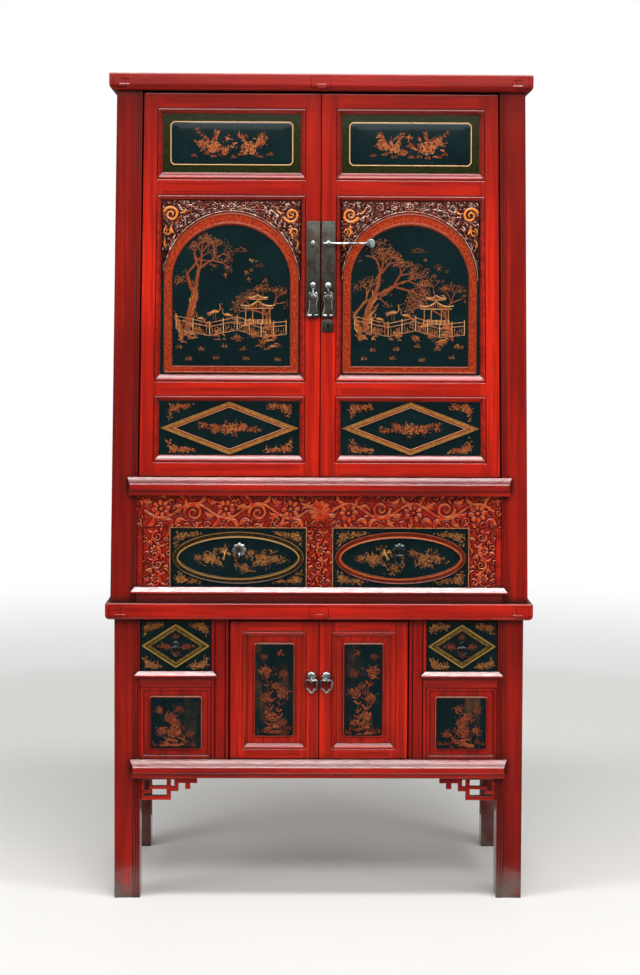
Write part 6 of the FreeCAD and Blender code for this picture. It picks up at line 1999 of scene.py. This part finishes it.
@dataclass
class LargeDrawer(Part):
    """A large drawer: an oval band, a spray with a bird, corner flowers and its boss."""

    label = "large_{}_drawer"
    front: Box = (33.5, 347.0, 738.3, 874.5)
    length: float = 306.0
    tall: float = 122.0
    width: float = 15.0
    boss: tuple[float, ...] = (187.5, 0.0, 825.4, 16.5, 5.0)
    ring: tuple[float, float] = (28.0, 27.0)

    def build(self) -> None:
        """Makes everything on the drawer's front."""
        x0, x1, z0, z1 = self.front
        x, z = (x0 + x1) / 2, (z0 + z1) / 2
        outline = ellipse_path(x, z, self.length / 2 + 0.2, self.tall / 2 + 0.2)
        left = self.side is Side.LEFT
        paint = ((0.0, 1.0), (0.07, 1.0), (0.13, 0.0), (0.5, 0.0), (0.56, 0.5), (0.6, 0.5),
                 (0.66 if left else 0.62, 1.0), (0.86, 1.0), (0.9, 0.5), (0.94, 0.5), (1.0, 1.0))
        finish = OVAL_OLIVE if left else OVAL_RED
        self.add("oval", band(outline, 0.0, self.width, 4.2, 1.0, 0.22, paint), finish)
        half = (self.length / 2 - self.width - 5, self.tall / 2 - self.width - 4)
        spray = self.spray(x, z).kept(lambda across,
                                      up: np.hypot((across - x) / half[0], (up - z) / half[1]) < 1)
        self.add("spray", spray.shell(0.0), GOLD_OLD)
        c = Painting(171 + self.side.value)
        c.corners((x, z), (134, 50), 9.0, 46.0)
        outer = (self.length / 2 + 3, self.tall / 2 + 3)
        c.kept(lambda across, up: (np.hypot((across - x) / outer[0], (up - z) / outer[1]) > 1)
               & (across > x0 + 3) & (across < x1 - 3) & (up > z0 + 3) & (up < z1 - 3))
        self.add("corner_flowers", c.shell(0.0), GOLD_OLD)
        if left:
            self.pull(*self.boss, OLD_BRASS)
        else:
            self.pull(*self.boss, DARK_BRASS, self.ring)
        dress(BLACK_GLOSS, f"{self.name}_front")
        dress(RAW_DEEP, f"{self.name}_box")

    def spray(self, x: float, z: float) -> Painting:
        """Stems from both ends and from below, with flowers and a bird among them."""
        p = Painting(151 + self.side.value)
        way = self.side.value
        for across, up, angle, length in ((-104, -6, 0.25, 96), (104, -4, 2.85, 90), (-30, -24, 2.3, 50),
                                          (34, -22, 0.9, 46), (4, -30, 1.6, 50)):
            p.stem((x + across, z + up), angle, length, p.chance(-0.4, 0.4), 1.4, 0.3, 11, 6)
        for across, up, radius in ((-66 * way, -2, 15), (58 * way, -6, 16), (-14, -22, 10), (84 * way, -2, 9),
                                   (-94 * way, 0, 8), (30 * way, 12, 8)):
            p.peony((x + across, z + up), radius, p.chance(0.35, 0.65))
        for across, up in ((-40 * way, 20), (74 * way, 16), (100 * way, -6), (-20, -32)):
            p.dabs((x + across, z + up), (20, 7), 18, 6, 0.35)
        p.swallow((x - 32 * way, z + 4), 19, 1.9, 0.85)
        return p


@dataclass
class SmallDrawer(Part):
    """A small drawer: an olive lozenge, a sprig inside it, and its boss and ring."""

    label = "small_{}_drawer"
    front: Box = (253.6, 418.5, 538.8, 657.0)
    face: float = 3.0
    field_sink: float = 1.5
    end_margin: float = 2.5
    edge_margin: float = 7.1
    width: float = 13.0
    boss: tuple[float, ...] = (602.5, 8.5, 5.0)
    ring: tuple[float, float] = (26.0, 24.0)

    def build(self) -> None:
        """Makes everything on the drawer's front."""
        x0, x1, z0, z1 = self.front
        x, z = (x0 + x1) / 2, (z0 + z1) / 2
        lozenge = Lozenge(x, z, (x1 - x0) / 2 - self.end_margin + 0.3, (z1 - z0) / 2 - self.edge_margin + 0.3)
        paint = ((0.0, 1.0), (0.3, 1.0), (0.36, 0.5), (0.52, 0.5), (0.58, 0.0), (0.9, 0.0), (1.0, 1.0))
        outline = lozenge_path(x, z, lozenge.half_length, lozenge.half_height)
        self.add("lozenge", band(outline, self.face, self.width, 3.75, 0.8, 0.15, paint), LOZENGE_OLIVE)
        p = Painting(191 + self.side.value)
        for way in (-1, 1):
            angle = sideways(way) + way * 0.35
            p.stem((x + way * 6, z - 6), angle, 40, -way * 0.3, 1.3, leaf=11, pairs=4)
            p.peony((x + way * 24, z - 1), 8, 0.4)
        p.peony((x, z - 19), 9, 0.45)
        p.peony((x, z + 22), 7, 0.4)
        c = Painting(211 + self.side.value)
        c.corners((x, z), (62, 44), 8.0, 24.0)
        self.lozenge_painting(lozenge, self.face, self.field_sink, ("spray", p, GOLD_RUBBED),
                              (x0 + 2, x1 - 2, z0 + 2, z1 - 2), ("corner_leaves", c, GOLD_OLD))
        self.pull(x, self.face - self.field_sink, *self.boss, DARK_BRASS, self.ring)
        dress(BLACK_GLOSS, f"{self.name}_front")
        dress(RAW_DEEP, f"{self.name}_box")


@dataclass
class CarvedSurround:
    """The carved boards round the large drawers: vines, leaves and flowers in low relief."""

    face: float = -2.0
    opening: Box = (32.0, 348.5, 738.0, 876.0)
    top: float = 954.0
    carved_x: float = 412.0
    edging: float = 3.0
    ground: float = 1.0
    depth: float = 2.2
    groove: float = 1.0
    step: float = 1.2

    def build(self) -> None:
        """Makes the four carved boards and the gilt edging."""
        x0, x1, z0, z1 = self.opening
        low, high = -TAPER.opening(z1) + 0.5, TAPER.opening(self.top) - 0.5
        self.sheet("top", low, high, z1 + self.edging, self.top - 0.3, self.top_ridges())
        self.sheet("middle", -x0 + self.edging, x0 - self.edging, z0, z1 + 1, self.middle_ridges())
        for side in Side:
            ridges = [ridge * (side.value, 1, 1) for ridge in self.side_ridges()]
            low, high = sorted((side.value * (x1 + self.edging), side.value * self.carved_x))
            self.sheet(f"side_{side.word}", low, high, z0, z1 + 1, ridges)
            path = np.array([[x0 - self.edging, z0 - self.edging], [x1 + self.edging, z0 - self.edging],
                             [x1 + self.edging, z1 + self.edging], [x0 - self.edging, z1 + self.edging]])
            shell = band(path, self.face, self.edging, 1.6, 0.8, 0.0).mirrored(side)
            add_piece(f"surround_edging_{side.word}", shell, GILT_EDGE, "cabinet")
        dress(RED_LEVEL, "carved_surround")

    def sheet(self, name: str, x0: float, x1: float, z0: float, z1: float, ridges: list[Array]) -> None:
        """One carved board on an even grid."""
        across = np.linspace(x0, x1, int((x1 - x0) / self.step))
        up = np.linspace(z0, z1, int((z1 - z0) / self.step))
        x, z = np.meshgrid(across, up, indexing="ij")
        ridges = ridges + packed(x, z, ridges, 20.0, 0.34, len(name))
        shell = carved_sheet(x, z, ridges, self.face, self.ground, self.depth, self.groove)
        add_piece(f"surround_carving_{name}", shell, CARVED_RED, "cabinet", crease=60)

    def top_ridges(self) -> list[Array]:
        """A rosette in the middle, and on both sides a vine."""
        z = (self.opening[3] + self.edging + self.top) / 2
        ridges = flower_ridges(0, z, 26, 10) + flower_ridges(0, z, 12, 8, 0.4)
        for way in (-1, 1):
            ridges += vine((way * 30, z), (way * 408, z), 18, 5, 29)
        return ridges

    def middle_ridges(self) -> list[Array]:
        """An upright vine with four bends."""
        _, _, z0, z1 = self.opening
        return vine((0, z0 + 3), (0, z1 - 3), 7, 4, 15)

    def side_ridges(self) -> list[Array]:
        """An upright vine with four bends, in the middle of a side board."""
        _, x1, z0, z1 = self.opening
        x = (x1 + self.edging + self.carved_x) / 2
        return vine((x, z0 + 3), (x, z1 - 3), 10, 4, 16)


@dataclass
class LockPin:
    """The sliding pin: a round bar with a flat leaf for a head."""

    tip_x: float = 3.5
    length: float = 100.7
    radius: float = 2.5
    y: float = -16.4
    z: float = 1540.6
    leaf: tuple[float, float, float] = (21.5, 10.0, 1.5)

    def build(self) -> None:
        """Makes the bar and its head."""
        share = np.array([0.0, 0.008, 0.03, 0.1, 0.97, 1.0])
        reach = np.array([0.45, 0.75, 0.92, 1.0, 1.0, 1.0]) * self.radius
        bar = lathe(np.column_stack([share * self.length, reach]), np.array([self.tip_x, self.y, self.z]), 0,
                    around=24)
        long, half, thick = self.leaf
        turn = once_round(48)
        x = self.tip_x + self.length + long * (0.5 - 0.5 * np.cos(turn))
        waist = np.where(np.cos(turn) < -0.75, 0.95, 1.0)
        z = self.z + half * np.sin(turn) * (1 - 0.25 * np.cos(turn)) * waist
        outline = np.stack([x, z], axis=1)[::-1]
        head = cushion(outline, self.y + thick, 2 * thick - 0.2, 0.2, 0.8, foot=0.0)
        ball_end = ball(np.array([self.tip_x + self.length, self.y, self.z]), (3.4, 3.0, 3.4))
        add_piece("lock_pin_bar", gathered([bar, head, ball_end]), OLD_BRASS, "lock_pin",
                  stands_for=("lock_pin",))


@dataclass
class Carcass:
    """Posts, rails, panels and cornices: the model's own pieces in their finishes."""

    cornice_face: float = -24.0
    mark: float = 0.9
    tenons: tuple = (("cornice_frame", 488.5, 1897.0, 1924.0), ("waist_frame", 499.0, 668.0, 696.0))

    def build(self) -> None:
        """Dresses the pieces and marks the tenons' ends."""
        for finish, nodes in ((RED_POSTS, ("upper_posts", "lower_posts")),
                              (RED_UPRIGHT, ("muntins", "side_bay_panels")),
                              (RED_LEDGE, ("mid_rail",)),
                              (RED_FOOT_RAIL, ("bottom_rail",)),
                              (RED_NOSING, ("sill_rail", "small_drawer_rails")),
                              (RED_LEVEL, ("waist_frame", "cornice_frame", "corner_brackets", "waist_board",
                                           "cornice_board")),
                              (RED_SIDES, ("upper_panels", "lower_panels")),
                              (RED_FRAME, ("upper_frame_rails", "lower_frame_rails")),
                              (RAW_LEVEL, ("upper_floor", "lower_floor", "shelf")),
                              (RAW_DEEP, ("large_drawer_runners", "small_drawer_runners"))):
            dress(finish, *nodes)
        for node, half, low, high in self.tenons:
            for number, (x0,
                         x1) in enumerate(((-half + 9, -half + 37), (-24.0, 22.0), (half - 39, half - 9))):
                path = np.array([[x0, low], [x1, low], [x1, high], [x0, high]])
                shell = band(path, self.cornice_face, self.mark, 0.1, 0.2, 0.0)
                add_piece(f"{node}_tenon_mark_{number}", shell, JOINT_LINE, "cabinet")


def studio_mesh(name: str, points: Array, faces: list) -> bpy.types.Object:
    """A mesh of the studio, in metres."""
    mesh = bpy.data.meshes.new(name)
    mesh.from_pydata(points.tolist(), [], faces)
    made = bpy.data.objects.new(name, mesh)
    bpy.context.scene.collection.objects.link(made)
    return made


@dataclass
class Studio:
    """A pale floor, soft lights and the camera at the photograph's viewing angle."""

    eye: tuple[float, float, float] = (-0.0519, -4.3152, 1.3649)
    yaw: float = 0.72
    pitch: float = 2.40
    roll: float = 0.26
    lens: float = 64.95
    shift_y: float = -0.0969
    paper: Colour = srgb(230, 229, 226)
    card: Colour = (0.06, 0.06, 0.06, 1.0)
    lamps: tuple = (("overhead", (0.0, -0.95, 4.3), (0.0, -0.1, 0.9), 3.8, 0.55, 112.0, False),
                    ("soft_front", (0.5, -3.0, 3.4), (0.0, 0.0, 0.9), 2.6, 1.0, 70.0, False),
                    ("sheen", (0.0, -0.36, 4.3), (0.0, -0.36, 0.0), 3.6, 0.62, 40.0, True),
                    ("sheen_front", (0.0, -1.7, 4.3), (0.0, -0.3, 1.0), 3.6, 0.9, 110.0, True),
                    ("soft_left", (-3.4, -2.0, 2.2), (0.0, 0.0, 0.9), 1.6, 2.2, 34.0, False),
                    ("soft_right", (3.4, -2.2, 2.0), (0.0, 0.0, 0.9), 1.6, 2.2, 26.0, False),
                    ("soft_back", (0.0, 3.4, 2.6), (0.0, 0.2, 1.0), 2.6, 2.0, 26.0, False))

    def build(self) -> None:
        """Makes floor, lights, world and camera."""
        self.floor()
        for name, place, target, wide, tall, power, glossy_only in self.lamps:
            self.lamp(name, place, target, wide, tall, power).visible_diffuse = not glossy_only
        self.flags()
        self.world()
        self.camera()
        bpy.context.scene.view_settings.view_transform = "Standard"

    def floor(self) -> None:
        """A round level floor whose rim is seen as white as the surround."""
        turn = once_round(96)
        points = np.column_stack([14 * ray(turn), np.zeros(96)])
        floor = studio_mesh("floor", points, [tuple(range(96))])
        paper = Shader("floor_paper")
        floor.data.materials.append(paper.finish(self.paper, 0.7, Specular_IOR_Level=0.2))
        away = paper.node("ShaderNodeVectorMath", {0: paper.place}, operation="LENGTH").outputs["Value"]
        path = paper.node("ShaderNodeLightPath").outputs
        mirrored = paper.math("ADD", path["Is Glossy Ray"], path["Is Transmission Ray"])
        seen = paper.math("ADD", path["Is Camera Ray"], mirrored)
        white = paper.node("ShaderNodeEmission", {"Color": WHITE, "Strength": 1.0}).outputs[0]
        faded = paper.times(seen, paper.span(away, 1.6, 5.0))
        mixed = paper.node("ShaderNodeMixShader",
                           {0: faded, 1: paper.surface.outputs[0], 2: white}).outputs[0]
        paper.feed(paper.tree.nodes["Material Output"].inputs["Surface"], mixed)

    def flags(self) -> None:
        """Dark cards on the floor and round the room, which only glossy surfaces see."""
        turn = once_round(48)
        rings = [np.column_stack([r * ray(turn), np.full(48, z)])
                 for r, z in ((0.62, 0.004), (2.7, 0.004), (2.7, 2.25))]
        points = np.vstack(rings)
        here = np.arange(96)
        ahead = here // 48 * 48 + (here + 1) % 48
        faces = np.stack([here, ahead, ahead + 48, here + 48], axis=1)
        cards = studio_mesh("dark_cards", points, faces.tolist())
        grey = Shader("card_grey").finish((0, 0, 0, 1), 1.0, Emission_Color=self.card, Emission_Strength=1.0,
                                          Specular_IOR_Level=0.0)
        cards.data.materials.append(grey)
        cards.visible_camera = cards.visible_diffuse = cards.visible_shadow = False

    def lamp(self, name: str, place: tuple, target: tuple, wide: float, tall: float,
             power: float) -> bpy.types.Object:
        """An area lamp that faces a point."""
        data = bpy.data.lights.new(name, "AREA")
        data.shape = "RECTANGLE"
        data.size, data.size_y, data.energy = wide, tall, power
        lamp = bpy.data.objects.new(name, data)
        lamp.location = place
        lamp.rotation_euler = (Vector(target) - Vector(place)).to_track_quat("-Z", "Y").to_euler()
        bpy.context.scene.collection.objects.link(lamp)
        return lamp

    def world(self) -> None:
        """Soft light from all round, and a white surround wherever the camera or a reflection sees it."""
        world = bpy.data.worlds.new("soft_world")
        world.use_nodes = True
        nodes, links = world.node_tree.nodes, world.node_tree.links
        light, seen = nodes["Background"], nodes.new("ShaderNodeBackground")
        for background, strength in ((light, 0.3), (seen, 1.0)):
            background.inputs["Color"].default_value = WHITE
            background.inputs["Strength"].default_value = strength
        path = nodes.new("ShaderNodeLightPath").outputs
        glossy, either, mix = (nodes.new(f"ShaderNode{kind}") for kind in ("Math", "Math", "MixShader"))
        either.use_clamp = True
        for source, socket in ((path["Is Glossy Ray"], glossy.inputs[0]),
                               (path["Is Transmission Ray"], glossy.inputs[1]),
                               (path["Is Camera Ray"], either.inputs[0]),
                               (glossy.outputs[0], either.inputs[1]),
                               (either.outputs[0], mix.inputs[0]), (light.outputs[0], mix.inputs[1]),
                               (seen.outputs[0], mix.inputs[2]),
                               (mix.outputs[0], nodes["World Output"].inputs["Surface"])):
            links.new(source, socket)
        bpy.context.scene.world = world

    def camera(self) -> None:
        """The camera: turned by yaw about Z, tipped down by pitch, and rolled about its own axis."""
        data = bpy.data.cameras.new("camera")
        data.sensor_width = 36.0
        data.sensor_fit = "AUTO"
        data.lens = self.lens
        data.shift_y = self.shift_y
        camera = bpy.data.objects.new("camera", data)
        yaw, pitch, roll = (math.radians(v) for v in (self.yaw, self.pitch, self.roll))
        turn = (Matrix.Rotation(-yaw, 4, "Z") @ Matrix.Rotation(math.pi / 2 - pitch, 4, "X")
                @ Matrix.Rotation(roll, 4, "Z"))
        camera.matrix_world = Matrix.Translation(self.eye) @ turn
        bpy.context.scene.collection.objects.link(camera)
        bpy.context.scene.camera = camera


def main() -> None:
    """Builds and dresses the cabinet, and sets up the studio."""
    logging.basicConfig(level=logging.INFO, format="%(name)s: %(message)s")
    Carcass().build()
    CarvedSurround().build()
    LockPin().build()
    for side in Side:
        for kind in (UpperDoor, LargeDrawer, LowerDoor, SmallDrawer, SideBay):
            kind(side).build()
    Studio().build()


if __name__ == "__main__":
    main()
